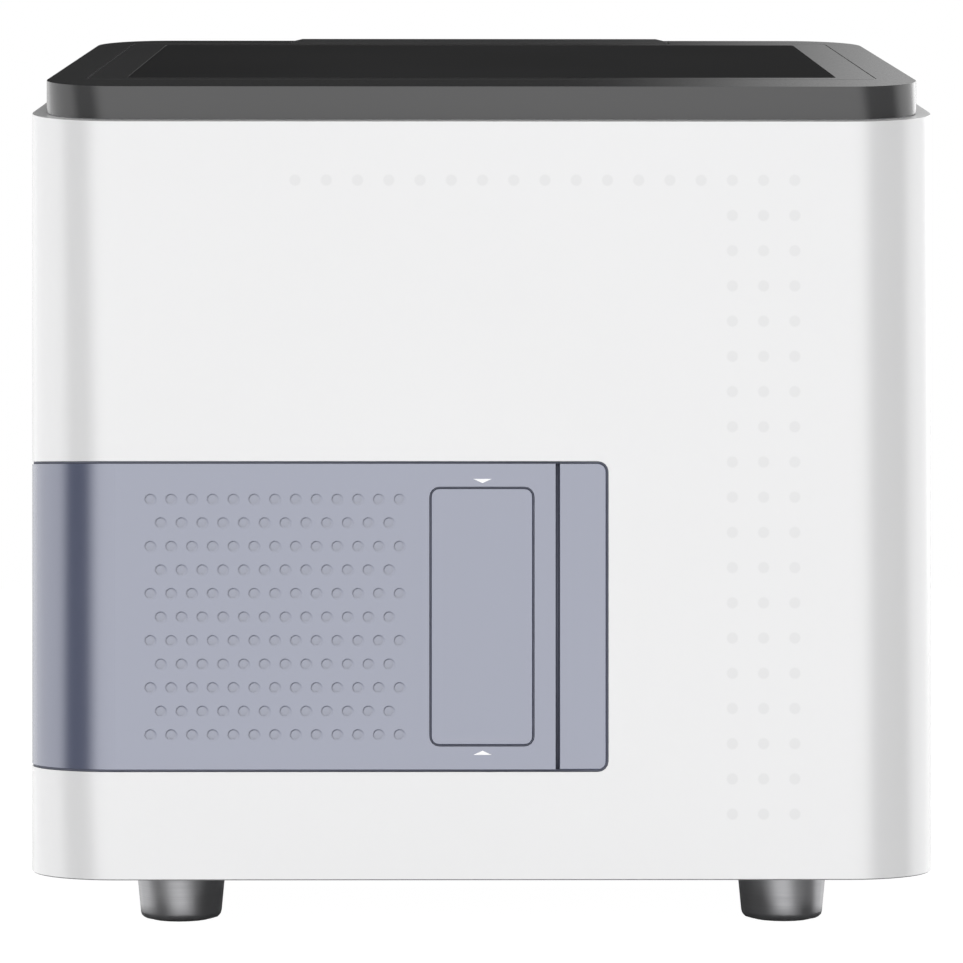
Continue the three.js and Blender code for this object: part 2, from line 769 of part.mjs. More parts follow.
function addTrayDrive() {
  add('card_tray', cardTray(), darkPlastic);
  const screwFront = railFront;
  const nutFront = trayBack - nutInset - nutLength;
  add('tray_nut', cut(block(trayCentre - nutWidth / 2, trayCentre + nutWidth / 2, nutFront,
    nutFront + nutLength, screwZ - nutWidth / 4, trayBodyBottom - clearance),
  rodY(screwRadius + clearance, trayCentre, screwZ, nutFront - overrun, nutFront + nutLength + overrun)),
  castAluminium);
  add('tray_rail_left', trayRail(-1), castAluminium);
  add('tray_rail_right', trayRail(1), castAluminium);
  add('tray_lead_screw', rodY(screwRadius, trayCentre, screwZ, screwFront, screwBack), polishedSteel);
  add('screw_bearing', cut(block(trayCentre - screwBearingWidth / 2, trayCentre + screwBearingWidth / 2,
    screwFront + clearance, screwFront + clearance + screwBearingLength, shelfTop + clearance,
    trayBodyBottom - runningGap * 2), rodY(screwRadius + clearance, trayCentre, screwZ,
    screwFront - overrun, screwFront + overrun * 2)), castAluminium);
  const half = motorSize / 2;
  add('tray_motor', frontBlock(trayCentre - half, trayCentre + half, screwZ - half, screwZ + half,
    panelCorner, motorFront, motorBack), blackPlastic);
}

// Chassis shelf of folded sheet: it carries the rails and ends in the motor plate
function chassisShelf() {
  const x0 = shelfLeft;
  const x1 = shelfRight;
  const y0 = front + shelfFront;
  const top = block(x0, x1, y0, screwBack, shelfBottom, shelfTop);
  const legs = [x0, x1 - sheet].map((x) => block(x, x + sheet, bayBack + clearance, screwBack,
    baseTop + clearance, shelfTop));
  const feet = [[x0, x0 + shelfSide], [x1 - shelfSide, x1]].map(([a, b]) => block(a, b,
    bayBack + clearance, screwBack, baseTop + clearance, baseTop + clearance + sheet));
  const plate = block(x0, x1, motorPlateY, screwBack, shelfBottom, shelfTop + motorPlateRise);
  const shaftHole = rodY(motorBoss, trayCentre, screwZ, motorPlateY - overrun, screwBack + overrun);
  return cut(join(top, ...legs, ...feet, plate), shaftHole);
}

function addModules() {
  add('chassis_shelf', chassisShelf(), sheetSteel);
  const x0 = trayLeft - runningGap - railWidth;
  const x1 = trayRight + runningGap + railWidth;
  add('incubator_hood', block(x0, x1, hoodFront, hoodBack, hoodBottom, hoodTop), castAluminium);
  const detectorX = trayCentre;
  const detectorY = (hoodFront + hoodBack) / 2;
  const tubeBottom = hoodTop + clearance + bayWall;
  const tubeHole = rodZ(tubeRadius + clearance, detectorX, detectorY, tubeBottom - clearance,
    hoodTop + detectorHeight + overrun, hubSides);
  add('detector_housing', cut(slab(roundedShape(detectorX - detectorWidth / 2,
    detectorX + detectorWidth / 2, detectorY - detectorLength / 2, detectorY + detectorLength / 2,
    panelCorner), hoodTop + clearance, hoodTop + detectorHeight, smallSteps), tubeHole), blackPlastic);
  add('photomultiplier', rodZ(tubeRadius, detectorX, detectorY, tubeBottom, tubeBottom + tubeLength,
    hubSides), sheetSteel);
}

// Electronics on the base plate
const supplyFront = front + wall + supplyFrontGap;
const supplyBack = supplyFront + supplyLength;
const supplyRight = -left - wall - supplySideGap;
const boardLeft = shelfRight + moduleGap;
const boardRight = -left - bodyCorner;
const boardFront = supplyBack + moduleGap;
const boardBack = panelInner - clearance;
const boardBottom = baseTop + boardRise;
const boardTop = boardBottom + boardThickness;
const boardPlace = (share) => boardLeft + (boardRight - boardLeft) * share;

function boardCorners() {
  const inset = bossRadius * 2;
  const x0 = boardLeft + inset;
  const x1 = boardRight - inset;
  const y0 = boardFront + inset;
  const y1 = boardBack - inset - usbLength;
  return [[x0, y0], [x1, y0], [x0, y1], [x1, y1]];
}

function mainBoard() {
  const board = block(boardLeft, boardRight, boardFront, boardBack, boardBottom, boardTop);
  const middle = (boardFront + boardBack) / 2;
  const chips = chipShares.map((share) => {
    const x = boardPlace(share);
    return block(x - chipSize / 2, x + chipSize / 2, middle - chipSize / 2, middle + chipSize / 2,
      boardTop - boardThickness / 2, boardTop + chipHeight);
  });
  return join(board, ...chips);
}

function addElectronics() {
  const supply = slab(roundedShape(boardLeft, supplyRight, supplyFront, supplyBack, panelCorner),
    baseTop + clearance, baseTop + supplyHeight, smallSteps);
  add('power_supply', supply, sheetSteel);
  add('main_board', mainBoard(), boardGreen);
}

// Rear panel with its round grille, vents and socket holes
function grilleSlots() {
  const slots = [];
  const rows = Math.floor(grilleRadius / grillePitch);
  for (let row = -rows; row <= rows; row += 1) {
    const z = fanHeight + row * grillePitch;
    const edge = Math.abs(row) * grillePitch + grilleSlot / 2;
    const half = Math.sqrt(Math.max(grilleRadius ** 2 - edge ** 2, grilleSlot ** 2));
    slots.push(slotAt(fanCentre - half, fanCentre + half, z));
  }
  return slots;
}

function slotAt(x0, x1, z) {
  return frontBlock(x0, x1, z - grilleSlot / 2, z + grilleSlot / 2, grilleSlot / 2 - clearance / 2,
    panelInner - overrun, panelOuter + overrun, slotSteps);
}

function rearHoles() {
  const bodies = [
    [inletCentre, inletWidth, inletHeight, socketHeight],
    [switchCentre, switchWidth, switchHeight, socketHeight],
    ...usbShares.map((share) => [boardPlace(share), usbWidth, usbHeight,
      boardTop + clearance + usbHeight / 2]),
    [boardPlace(lanShare), lanWidth, lanHeight, boardTop + clearance + lanHeight / 2],
  ];
  return bodies.map(([x, width, height, z]) => block(x - width / 2 - clearance,
    x + width / 2 + clearance, panelInner - overrun, panelOuter + overrun,
    z - height / 2 - clearance, z + height / 2 + clearance));
}

function rearPanel() {
  const half = rearWidth / 2 + rearLap;
  const plate = frontBlock(-half, half, rearBottom - rearLap, rearBottom + rearHeight + rearLap,
    rearCorner, panelInner, panelOuter);
  const vents = [];
  for (let i = 0; i < ventCount; i += 1) {
    const z = fanHeight + (i - (ventCount - 1) / 2) * grillePitch;
    vents.push(slotAt(ventCentre - ventWidth / 2, ventCentre + ventWidth / 2, z));
  }
  return cut(plate, ...grilleSlots(), ...vents, ...rearHoles());
}

// Cooling fan
const fanBack = panelInner - clearance;
const fanFront = fanBack - fanThickness;

function fanFrame() {
  const half = fanSize / 2;
  const frame = frontBlock(fanCentre - half, fanCentre + half, fanHeight - half, fanHeight + half,
    panelCorner, fanFront, fanBack);
  const bore = rodY(fanBore, fanCentre, fanHeight, fanFront - overrun, fanBack + overrun, footSides);
  const struts = [0, 1, 2].map((i) => {
    const bar = block(-fanBore - strutWidth / 4, fanBore + strutWidth / 4, fanFront,
      fanFront + strutThickness, -strutWidth / 2, strutWidth / 2);
    return bar.rotateY(i * Math.PI / 3).translate(fanCentre, 0, fanHeight);
  });
  const seat = rodY(fanHub, fanCentre, fanHeight, fanFront, fanFront + strutThickness, hubSides);
  const axle = rodY(axleRadius, fanCentre, fanHeight, fanFront, fanBack - strutThickness);
  return join(cut(frame, bore), ...struts, seat, axle);
}

function fanRotor() {
  const rotorFront = fanFront + strutThickness + clearance;
  const rotorBack = fanBack - runningGap * 2;
  const hub = rodY(fanHub, fanCentre, fanHeight, rotorFront, rotorBack, hubSides);
  const length = rotorBack - rotorFront;
  const radius = fanBore - runningGap * 2;
  const chord = length * chordShare;
  const blades = [];
  for (let i = 0; i < fanBlades; i += 1) {
    const blade = block(fanHub - bladeThickness, radius, -bladeThickness / 2, bladeThickness / 2,
      -chord / 2, chord / 2);
    blade.rotateX(THREE.MathUtils.degToRad(bladeTilt));
    blade.rotateY(i * 2 * Math.PI / fanBlades);
    blades.push(blade.translate(fanCentre, (rotorFront + rotorBack) / 2, fanHeight));
  }
  const swept = rodY(radius, fanCentre, fanHeight, rotorFront, rotorBack, footSides);
  const bore = rodY(axleRadius + clearance, fanCentre, fanHeight, rotorFront - overrun,
    fanBack - strutThickness + clearance);
  return cut(common(join(hub, ...blades), swept), bore);
}

// A socket body behind the panel with a flange on its outside
function flangedBody(x, z, width, height, length) {
  const body = block(x - width / 2, x + width / 2, panelOuter - length, panelOuter + flangeThickness,
    z - height / 2, z + height / 2);
  const lap = flangeLap;
  const flange = frontBlock(x - width / 2 - lap, x + width / 2 + lap, z - height / 2 - lap,
    z + height / 2 + lap, flangeLap, panelOuter + clearance, panelOuter + flangeThickness);
  return join(body, flange);
}

function powerInlet() {
  const outer = flangedBody(inletCentre, socketHeight, inletWidth, inletHeight, inletLength);
  const face = panelOuter + flangeThickness;
  const halfWidth = inletWidth / 2 - inletWall;
  const halfHeight = inletHeight / 2 - inletWall;
  const recess = frontBlock(inletCentre - halfWidth, inletCentre + halfWidth, socketHeight - halfHeight,
    socketHeight + halfHeight, inletWall * 2, face - inletRecess, face + overrun);
  const spread = inletWidth / 4;
  const pins = [[-spread, -inletWall], [0, inletWall], [spread, -inletWall]].map(([dx, dz]) => block(
    inletCentre + dx - pinWidth / 2, inletCentre + dx + pinWidth / 2,
    face - inletRecess - pinWidth, face - inletRecess + pinLength,
    socketHeight + dz - pinHeight / 2, socketHeight + dz + pinHeight / 2));
  return join(cut(outer, recess), ...pins);
}

const rockerY = panelOuter + flangeThickness - rockerDepth / 2;

function switchBody() {
  const outer = flangedBody(switchCentre, socketHeight, switchWidth, switchHeight, switchLength);
  const half = switchWidth / 2 - switchWall;
  const pocket = block(switchCentre - half, switchCentre + half, rockerY - rockerDepth,
    panelOuter + flangeThickness + overrun, socketHeight - switchHeight / 2 + switchWall,
    socketHeight + switchHeight / 2 - switchWall);
  const trunnion = rodX(axleRadius, rockerY, socketHeight, switchCentre - half - switchWall / 2,
    switchCentre + half + switchWall / 2);
  return join(cut(outer, pocket), trunnion);
}

function rocker() {
  const half = switchWidth / 2 - switchWall - clearance;
  const reach = switchHeight / 2 - switchWall - runningGap * 2;
  const shape = new THREE.Shape();
  shape.moveTo(0, -reach);
  shape.lineTo(rockerDepth / 2, -reach);
  shape.lineTo(rockerDepth / 3, 0);
  shape.lineTo(rockerDepth / 2, reach);
  shape.lineTo(0, reach);
  shape.lineTo(-rockerDepth / 2, 0);
  const body = slab(shape, -half, half, smallSteps).rotateY(Math.PI / 2).rotateX(Math.PI / 2);
  const turned = body.rotateX(THREE.MathUtils.degToRad(rockerTilt));
  const seated = turned.translate(switchCentre, rockerY, socketHeight);
  return cut(seated, rodX(axleRadius + clearance, rockerY, socketHeight,
    switchCentre - half - overrun, switchCentre + half + overrun));
}

function usbSocket(x) {
  const z0 = boardTop + clearance;
  const z1 = z0 + usbHeight;
  const y1 = panelOuter + flangeThickness;
  const shell = block(x - usbWidth / 2, x + usbWidth / 2, y1 - usbLength, y1, z0, z1);
  const hollow = block(x - usbWidth / 2 + usbWall, x + usbWidth / 2 - usbWall,
    y1 - usbLength + usbWall * 3, y1 + overrun, z0 + usbWall, z1 - usbWall);
  const tongue = block(x - usbWidth / 3, x + usbWidth / 3, y1 - usbLength + usbWall,
    y1 - usbWall * 2, (z0 + z1) / 2, (z0 + z1) / 2 + usbWall * 2);
  return join(cut(shell, hollow), tongue);
}

function lanSocket() {
  const x = boardPlace(lanShare);
  const z0 = boardTop + clearance;
  const z1 = z0 + lanHeight;
  const y1 = panelOuter + flangeThickness;
  const shell = block(x - lanWidth / 2, x + lanWidth / 2, y1 - lanLength, y1, z0, z1);
  const half = lanWidth / 2 - lanWall;
  const hollow = block(x - half, x + half, y1 - lanLength * 2 / 3, y1 + overrun,
    z0 + lanWall * 2, z1 - lanWall);
  const catchSlot = block(x - half / 2, x + half / 2, y1 - lanLength * 2 / 3, y1 + overrun,
    z0 + lanWall / 2, z0 + lanWall * 3);
  return cut(shell, hollow, catchSlot);
}

function addRear() {
  add('rear_panel', rearPanel(), sheetSteel);
  add('fan_frame', fanFrame(), blackPlastic);
  add('fan_rotor', fanRotor(), blackPlastic);
  add('power_inlet', powerInlet(), blackPlastic);
  add('switch_body', switchBody(), blackPlastic);
  add('switch_rocker', rocker(), blackPlastic);
  usbShares.forEach((share, i) => add(`usb_socket_${i + 1}`, usbSocket(boardPlace(share)), sheetSteel));
  add('lan_socket', lanSocket(), sheetSteel);
}

add('housing_shell', housingShell(), whiteShell);
add('base_plate', basePlate(), sheetSteel);
addFeet();
addTop();
addDoor();
addBay();
addTrayDrive();
addModules();
addElectronics();
addRear();

export default analyzer;
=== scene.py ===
import math

import bpy
import bmesh
from mathutils import Matrix, Vector


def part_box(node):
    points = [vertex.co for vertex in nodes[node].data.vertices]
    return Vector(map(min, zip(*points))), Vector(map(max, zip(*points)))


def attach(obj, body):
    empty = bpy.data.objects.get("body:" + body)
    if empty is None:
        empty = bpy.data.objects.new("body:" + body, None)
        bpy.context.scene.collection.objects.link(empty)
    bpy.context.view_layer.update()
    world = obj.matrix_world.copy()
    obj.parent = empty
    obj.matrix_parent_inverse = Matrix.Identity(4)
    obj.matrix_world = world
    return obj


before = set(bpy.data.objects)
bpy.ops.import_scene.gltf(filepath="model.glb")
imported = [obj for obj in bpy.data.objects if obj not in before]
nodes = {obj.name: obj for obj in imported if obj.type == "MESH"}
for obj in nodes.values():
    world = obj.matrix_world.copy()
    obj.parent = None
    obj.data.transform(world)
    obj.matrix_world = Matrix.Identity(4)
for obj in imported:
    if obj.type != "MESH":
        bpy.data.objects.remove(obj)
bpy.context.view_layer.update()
mm = 0.001
print("frame loaded:", len(nodes), "nodes")

scene = bpy.context.scene
scene.view_settings.view_transform = 'Standard'

# worked out from the picture: place in millimetres, turn in degrees
cameraLook = {"place": (-5.3, -1071, 133.75), "turn": -0.3, "lens": 122.8, "sensor": 36,
              "nearest": 0.01}


def placeCamera():
    data = bpy.data.cameras.new("analyzerCamera")
    data.lens = cameraLook["lens"]
    data.sensor_width = cameraLook["sensor"]
    data.clip_start = cameraLook["nearest"]
    camera = bpy.data.objects.new("analyzerCamera", data)
    scene.collection.objects.link(camera)
    camera.location = [value * mm for value in cameraLook["place"]]
    camera.rotation_euler = (math.radians(90), 0, math.radians(cameraLook["turn"]))
    scene.camera = camera


placeCamera()
print("camera placed")


def millimetreBox(name):
    # left, right, front, back, bottom and top of a carried node, in millimetres
    low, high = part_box(name)
    return low.x / mm, high.x / mm, low.y / mm, high.y / mm, low.z / mm, high.z / mm


shellBox = millimetreBox("housing_shell")
noiseSpan = (0.3, 0.7)      # most of what a noise texture gives lies between these


# a small kit for wiring shader nodes
class Wiring:
    def __init__(self, tree):
        self.tree = tree

    def add(self, kind, **settings):
        node = self.tree.nodes.new(kind)
        for name, value in settings.items():
            setattr(node, name, value)
        return node

    def plug(self, value, socket):
        if isinstance(value, bpy.types.NodeSocket):
            self.tree.links.new(value, socket)
        else:
            socket.default_value = value

    def math(self, kind, a, b=0.0, clamp=False):
        node = self.add('ShaderNodeMath', operation=kind, use_clamp=clamp)
        self.plug(a, node.inputs[0])
        self.plug(b, node.inputs[1])
        return node.outputs[0]

    def noise(self, place, scale, detail, rough=0.55):
        node = self.add('ShaderNodeTexNoise')
        self.plug(place, node.inputs['Vector'])
        self.plug(scale, node.inputs['Scale'])
        self.plug(detail, node.inputs['Detail'])
        self.plug(rough, node.inputs['Roughness'])
        return node.outputs['Fac']

    def remap(self, value, low, high, newLow, newHigh, smooth=False):
        node = self.add('ShaderNodeMapRange')
        if smooth:
            node.interpolation_type = 'SMOOTHSTEP'
        self.plug(value, node.inputs['Value'])
        for name, number in (('From Min', low), ('From Max', high),
                             ('To Min', newLow), ('To Max', newHigh)):
            self.plug(number, node.inputs[name])
        return node.outputs['Result']

    def blend(self, factor, a, b):
        node = self.add('ShaderNodeMix', data_type='RGBA')
        self.plug(factor, node.inputs['Factor'])
        self.plug(a, node.inputs['A'])
        self.plug(b, node.inputs['B'])
        return node.outputs['Result']

    def bump(self, height, strength, distance):
        node = self.add('ShaderNodeBump')
        self.plug(height, node.inputs['Height'])
        self.plug(strength, node.inputs['Strength'])
        self.plug(distance, node.inputs['Distance'])
        return node.outputs['Normal']

    def spread(self, noise, newLow, newHigh):
        return self.remap(noise, *noiseSpan, newLow, newHigh)

    def product(self, a, b):
        return self.math('MULTIPLY', a, b)

    def reach(self, across, up):
        return self.math('SQRT', self.math('ADD', self.product(across, across),
                                           self.product(up, up)))

    def millimetres(self, place, axes):
        split = self.add('ShaderNodeSeparateXYZ')
        self.plug(place, split.inputs[0])
        return [self.product(split.outputs[axis], 1.0 / mm) for axis in axes]


def rgba(r, g, b):
    return (r, g, b, 1.0)


def newSurface(name):
    material = bpy.data.materials.new(name)
    material.use_nodes = True
    wires = Wiring(material.node_tree)
    surface = material.node_tree.nodes['Principled BSDF']
    place = wires.add('ShaderNodeTexCoord').outputs['Object']
    return material, wires, surface, place


grainLook = {"drift": 14.0, "bump": 0.25, "uneven": 0.03}


def mouldedPlastic(name, color, rough, grain=900.0, depth=0.00002, tone=0.03, metallic=0.0,
                   ior=1.46):
    # fine spark-eroded grain, a slow drift of tone, and a little unevenness in the gloss
    material, wires, surface, place = newSurface(name)
    scaled = wires.add('ShaderNodeVectorMath', operation='SCALE')
    scaled.inputs[0].default_value = color
    shade = wires.spread(wires.noise(place, grainLook["drift"], 2.0), 1.0 - tone, 1.0 + tone)
    wires.plug(shade, scaled.inputs['Scale'])
    wires.plug(scaled.outputs[0], surface.inputs['Base Color'])
    fine = wires.noise(place, grain, 2.0, 0.6)
    wires.plug(wires.spread(fine, rough - grainLook["uneven"], rough + grainLook["uneven"]),
               surface.inputs['Roughness'])
    wires.plug(wires.bump(fine, grainLook["bump"], depth), surface.inputs['Normal'])
    surface.inputs['Metallic'].default_value = metallic
    surface.inputs['IOR'].default_value = ior
    return material, wires, surface, place


def paintOver(wires, surface, mark, color):
    # a second colour wherever the mark is 1
    base = surface.inputs['Base Color'].links[0].from_socket
    wires.plug(wires.blend(mark, base, rgba(*color)), surface.inputs['Base Color'])


def distanceToGrid(wires, value, first, pitch, count):
    # how far a place is from the nearest of evenly spaced lines, in millimetres
    steps = wires.math('DIVIDE', wires.math('SUBTRACT', first, value), pitch)
    nearest = wires.math('MAXIMUM', wires.math('MINIMUM', wires.math('ROUND', steps), count - 1.0),
                         0.0)
    return wires.product(wires.math('SUBTRACT', steps, nearest), pitch)


whiteLook = {"color": (0.81, 0.81, 0.815), "rough": 0.24, "tone": 0.004, "metallic": 0.1}
dotGrid = {"right": 92.7, "top": 223.05, "pitch": 9.26, "rowPitch": 10.44, "radius": 1.65,
           "soft": 0.35, "inRow": 17, "columns": 3, "rows": 19, "front": -97.0,
           "color": (0.755, 0.755, 0.76)}


def whiteHousing():
    # semi-gloss white shell, with the faint grey dots printed on its front: one row, three columns
    material, wires, surface, place = mouldedPlastic("whiteHousing", **whiteLook)
    g = dotGrid
    x, y, z = wires.millimetres(place, 'XYZ')
    marks = []
    for inRow, up in ((g["inRow"], wires.math('SUBTRACT', z, g["top"])),
                      (g["columns"], distanceToGrid(wires, z, g["top"], g["rowPitch"], g["rows"]))):
        far = wires.reach(distanceToGrid(wires, x, g["right"], g["pitch"], inRow), up)
        marks.append(wires.remap(far, g["radius"] - g["soft"], g["radius"] + g["soft"], 1.0, 0.0,
                                 smooth=True))
    onFront = wires.math('LESS_THAN', y, g["front"])
    paintOver(wires, surface, wires.product(wires.math('MAXIMUM', *marks), onFront), g["color"])
    return material


dimpleLips = {"right": -24.77, "top": 128.61, "pitch": 6.15, "rowPitch": 6.98, "inRow": 13,
              "rows": 11, "inner": 1.15, "outer": 1.85, "drop": 0.000125, "steeperLeft": 0.21,
              "steeperTop": 0.125}


def roundedLips(wires, x, z):
    # how far up the rounded lip of the nearest dimple a place is, from 0 in the dimple to 1 on the
    # flat; every other row of dimples is set half a pitch to the left and has one less
    d = dimpleLips
    reaches = []
    for right, top, inRow, rows in ((d["right"], d["top"], d["inRow"], d["rows"] // 2 + 1),
                                    (d["right"] - d["pitch"] / 2, d["top"] - d["rowPitch"],
                                     d["inRow"] - 1, d["rows"] // 2)):
        across = distanceToGrid(wires, x, right, d["pitch"], inRow)
        up = distanceToGrid(wires, z, top, d["rowPitch"] * 2, rows)
        lean = wires.math('SUBTRACT', wires.product(across, d["steeperLeft"]),
                          wires.product(up, d["steeperTop"]))
        reaches.append(wires.math('ADD', wires.reach(across, up), lean))
    return wires.remap(wires.math('MINIMUM', *reaches), d["inner"], d["outer"], 0.0, 1.0,
                       smooth=True)


doorLook = {"color": (0.122, 0.137, 0.21), "rough": 0.22, "grain": 1600.0, "depth": 0.000001,
            "tone": 0.01, "metallic": 0.2, "ior": 2.41}
pointerMarks = {"x": 0.1, "halfWidth": 2.7, "height": 1.2, "upper": 134.5, "lower": 52.75,
                "color": (0.9, 0.9, 0.92)}


def pointerMask(wires, x, z):
    # 1 inside the two triangles that point at the pad from above and below
    p = pointerMarks
    across = wires.math('ABSOLUTE', wires.math('SUBTRACT', x, p["x"]))
    room = wires.product(wires.math('SUBTRACT', 1.0, wires.math('DIVIDE', across, p["halfWidth"])),
                         p["height"])
    marks = []
    for edge, way in ((p["upper"], -1.0), (p["lower"], 1.0)):
        up = wires.product(wires.math('SUBTRACT', z, edge), way)
        marks.append(wires.product(wires.math('GREATER_THAN', up, 0.0),
                                   wires.math('LESS_THAN', up, room)))
    return wires.math('MAXIMUM', *marks)


def doorPaint(withPointers):
    # blue-grey paint with a strong gloss; the door itself has its dimples' lips and the pointers
    name = "doorPaint" if withPointers else "doorPaintPlain"
    material, wires, surface, place = mouldedPlastic(name, **doorLook)
    if withPointers:
        x, z = wires.millimetres(place, 'XZ')
        lips = wires.add('ShaderNodeBump')
        wires.plug(roundedLips(wires, x, z), lips.inputs['Height'])
        lips.inputs['Strength'].default_value = 1.0
        lips.inputs['Distance'].default_value = dimpleLips["drop"]
        wires.plug(surface.inputs['Normal'].links[0].from_socket, lips.inputs['Normal'])
        wires.plug(lips.outputs['Normal'], surface.inputs['Normal'])
        mark = pointerMask(wires, x, z)
        paintOver(wires, surface, mark, pointerMarks["color"])
        wires.plug(wires.product(wires.math('SUBTRACT', 1.0, mark), doorLook["metallic"]),
                   surface.inputs['Metallic'])
    return material


screenLook = {"color": (0.037, 0.037, 0.0375), "worn": (0.029, 0.029, 0.0295),
              "rough": (0.07, 0.09), "ior": 1.001, "slow": 30.0, "tint": 6.0}


def screenLens():
    # dark coated lens with the faintest unevenness, switched off
    s = screenLook
    material, wires, surface, place = newSurface("screenLens")
    wires.plug(wires.spread(wires.noise(place, s["slow"], 1.0), *s["rough"]),
               surface.inputs['Roughness'])
    wires.plug(wires.blend(wires.spread(wires.noise(place, s["tint"], 1.0), 0.0, 1.0),
                           rgba(*s["color"]), rgba(*s["worn"])), surface.inputs['Base Color'])
    surface.inputs['IOR'].default_value = s["ior"]
    return material


steelLook = {"color": (0.34, 0.34, 0.35), "darker": 0.97, "stretch": (30.0, 30.0, 4000.0),
             "rings": (0.35, 0.65), "rough": (0.37, 0.48), "bump": 0.05, "depth": 0.00001}


def turnedSteel():
    # bright turned metal: fine rings from the tool around the vertical axis
    s = steelLook
    material, wires, surface, place = newSurface("turnedSteel")
    stretch = wires.add('ShaderNodeMapping')
    wires.plug(place, stretch.inputs['Vector'])
    stretch.inputs['Scale'].default_value = s["stretch"]
    rings = wires.noise(stretch.outputs[0], 1.0, 2.0)
    wires.plug(wires.spread(rings, *s["rough"]), surface.inputs['Roughness'])
    wires.plug(wires.blend(wires.remap(rings, *s["rings"], 0.0, 1.0), rgba(*s["color"]),
                           rgba(*[c * s["darker"] for c in s["color"]])),
               surface.inputs['Base Color'])
    wires.plug(wires.bump(rings, s["bump"], s["depth"]), surface.inputs['Normal'])
    surface.inputs['Metallic'].default_value = 1.0
    return material


zincLook = {"bright": (0.5, 0.5, 0.51), "dull": (0.42, 0.43, 0.45), "cells": 220.0,
            "cellReach": 0.8, "rough": (0.32, 0.46), "metallic": 0.9}


def zincSheet():
    # plated sheet with soft spangle
    s = zincLook
    material, wires, surface, place = newSurface("zincSheet")
    cells = wires.add('ShaderNodeTexVoronoi')
    wires.plug(place, cells.inputs['Vector'])
    cells.inputs['Scale'].default_value = s["cells"]
    far = cells.outputs['Distance']
    wires.plug(wires.blend(wires.remap(far, 0.0, s["cellReach"], 0.0, 1.0), rgba(*s["bright"]),
                           rgba(*s["dull"])), surface.inputs['Base Color'])
    wires.plug(wires.remap(far, 0.0, s["cellReach"], *s["rough"]), surface.inputs['Roughness'])
    surface.inputs['Metallic'].default_value = s["metallic"]
    return material


alloyLook = {"dark": (0.36, 0.37, 0.38), "light": (0.46, 0.47, 0.48), "grit": 1500.0,
             "rough": (0.38, 0.5), "bump": 0.3, "depth": 0.00002, "metallic": 0.9}


def castAlloy():
    # fine sandy grit, as cast and machined
    s = alloyLook
    material, wires, surface, place = newSurface("castAlloy")
    grit = wires.noise(place, s["grit"], 3.0)
    wires.plug(wires.blend(grit, rgba(*s["dark"]), rgba(*s["light"])), surface.inputs['Base Color'])
    wires.plug(wires.spread(grit, *s["rough"]), surface.inputs['Roughness'])
    wires.plug(wires.bump(grit, s["bump"], s["depth"]), surface.inputs['Normal'])
    surface.inputs['Metallic'].default_value = s["metallic"]
    return material


boardLook = {"Scale": 160.0, "Mortar Size": 0.03, "Color1": rgba(0.015, 0.11, 0.05),
             "Color2": rgba(0.018, 0.13, 0.06), "Mortar": rgba(0.03, 0.2, 0.09)}
boardGloss = {"speck": 700.0, "rough": (0.3, 0.42)}


def greenBoard():
    # solder mask over copper: straight tracks show faintly through it
    material, wires, surface, place = newSurface("greenBoard")
    tracks = wires.add('ShaderNodeTexBrick')
    wires.plug(place, tracks.inputs['Vector'])
    for name, value in boardLook.items():
        tracks.inputs[name].default_value = value
    wires.plug(tracks.outputs['Color'], surface.inputs['Base Color'])
    speck = wires.noise(place, boardGloss["speck"], 2.0)
    wires.plug(wires.spread(speck, *boardGloss["rough"]), surface.inputs['Roughness'])
    return material


rockerLook = {"color": (0.013, 0.013, 0.014), "rough": 0.4, "tone": 0.05}
rockerMarks = {"x": -52.0, "bar": (86.2, 89.8), "barHalf": 0.4, "ring": 79.6, "ringRadius": 1.6,
               "line": 0.35, "front": 93.0, "white": (0.8, 0.8, 0.8)}


def rockerPlastic():
    # black rocker with a moulded bar above and ring below, filled in white
    material, wires, surface, place = mouldedPlastic("rockerPlastic", **rockerLook)
    r = rockerMarks
    x, y, z = wires.millimetres(place, 'XYZ')
    x = wires.math('SUBTRACT', x, r["x"])
    low, high = r["bar"]
    along = wires.math('ABSOLUTE', wires.math('SUBTRACT', z, (low + high) / 2))
    bar = wires.product(wires.math('LESS_THAN', wires.math('ABSOLUTE', x), r["barHalf"]),
                        wires.math('LESS_THAN', along, (high - low) / 2))
    far = wires.reach(x, wires.math('SUBTRACT', z, r["ring"]))
    ring = wires.math('LESS_THAN',
                      wires.math('ABSOLUTE', wires.math('SUBTRACT', far, r["ringRadius"])),
                      r["line"])
    onFace = wires.math('GREATER_THAN', y, r["front"])
    paintOver(wires, surface, wires.product(wires.math('MAXIMUM', bar, ring), onFace), r["white"])
    return material


goldLook = {"bright": (0.83, 0.62, 0.26), "worn": (0.66, 0.56, 0.38), "patches": 400.0,
            "wear": (0.45, 0.7), "rough": (0.22, 0.34)}


def goldPlate():
    # thin gold over nickel, a little worn in patches
    g = goldLook
    material, wires, surface, place = newSurface("goldPlate")
    wear = wires.noise(place, g["patches"], 2.0)
    wires.plug(wires.blend(wires.remap(wear, *g["wear"], 0.0, 1.0), rgba(*g["bright"]),
                           rgba(*g["worn"])), surface.inputs['Base Color'])
    wires.plug(wires.spread(wear, *g["rough"]), surface.inputs['Roughness'])
    surface.inputs['Metallic'].default_value = 1.0
    return material


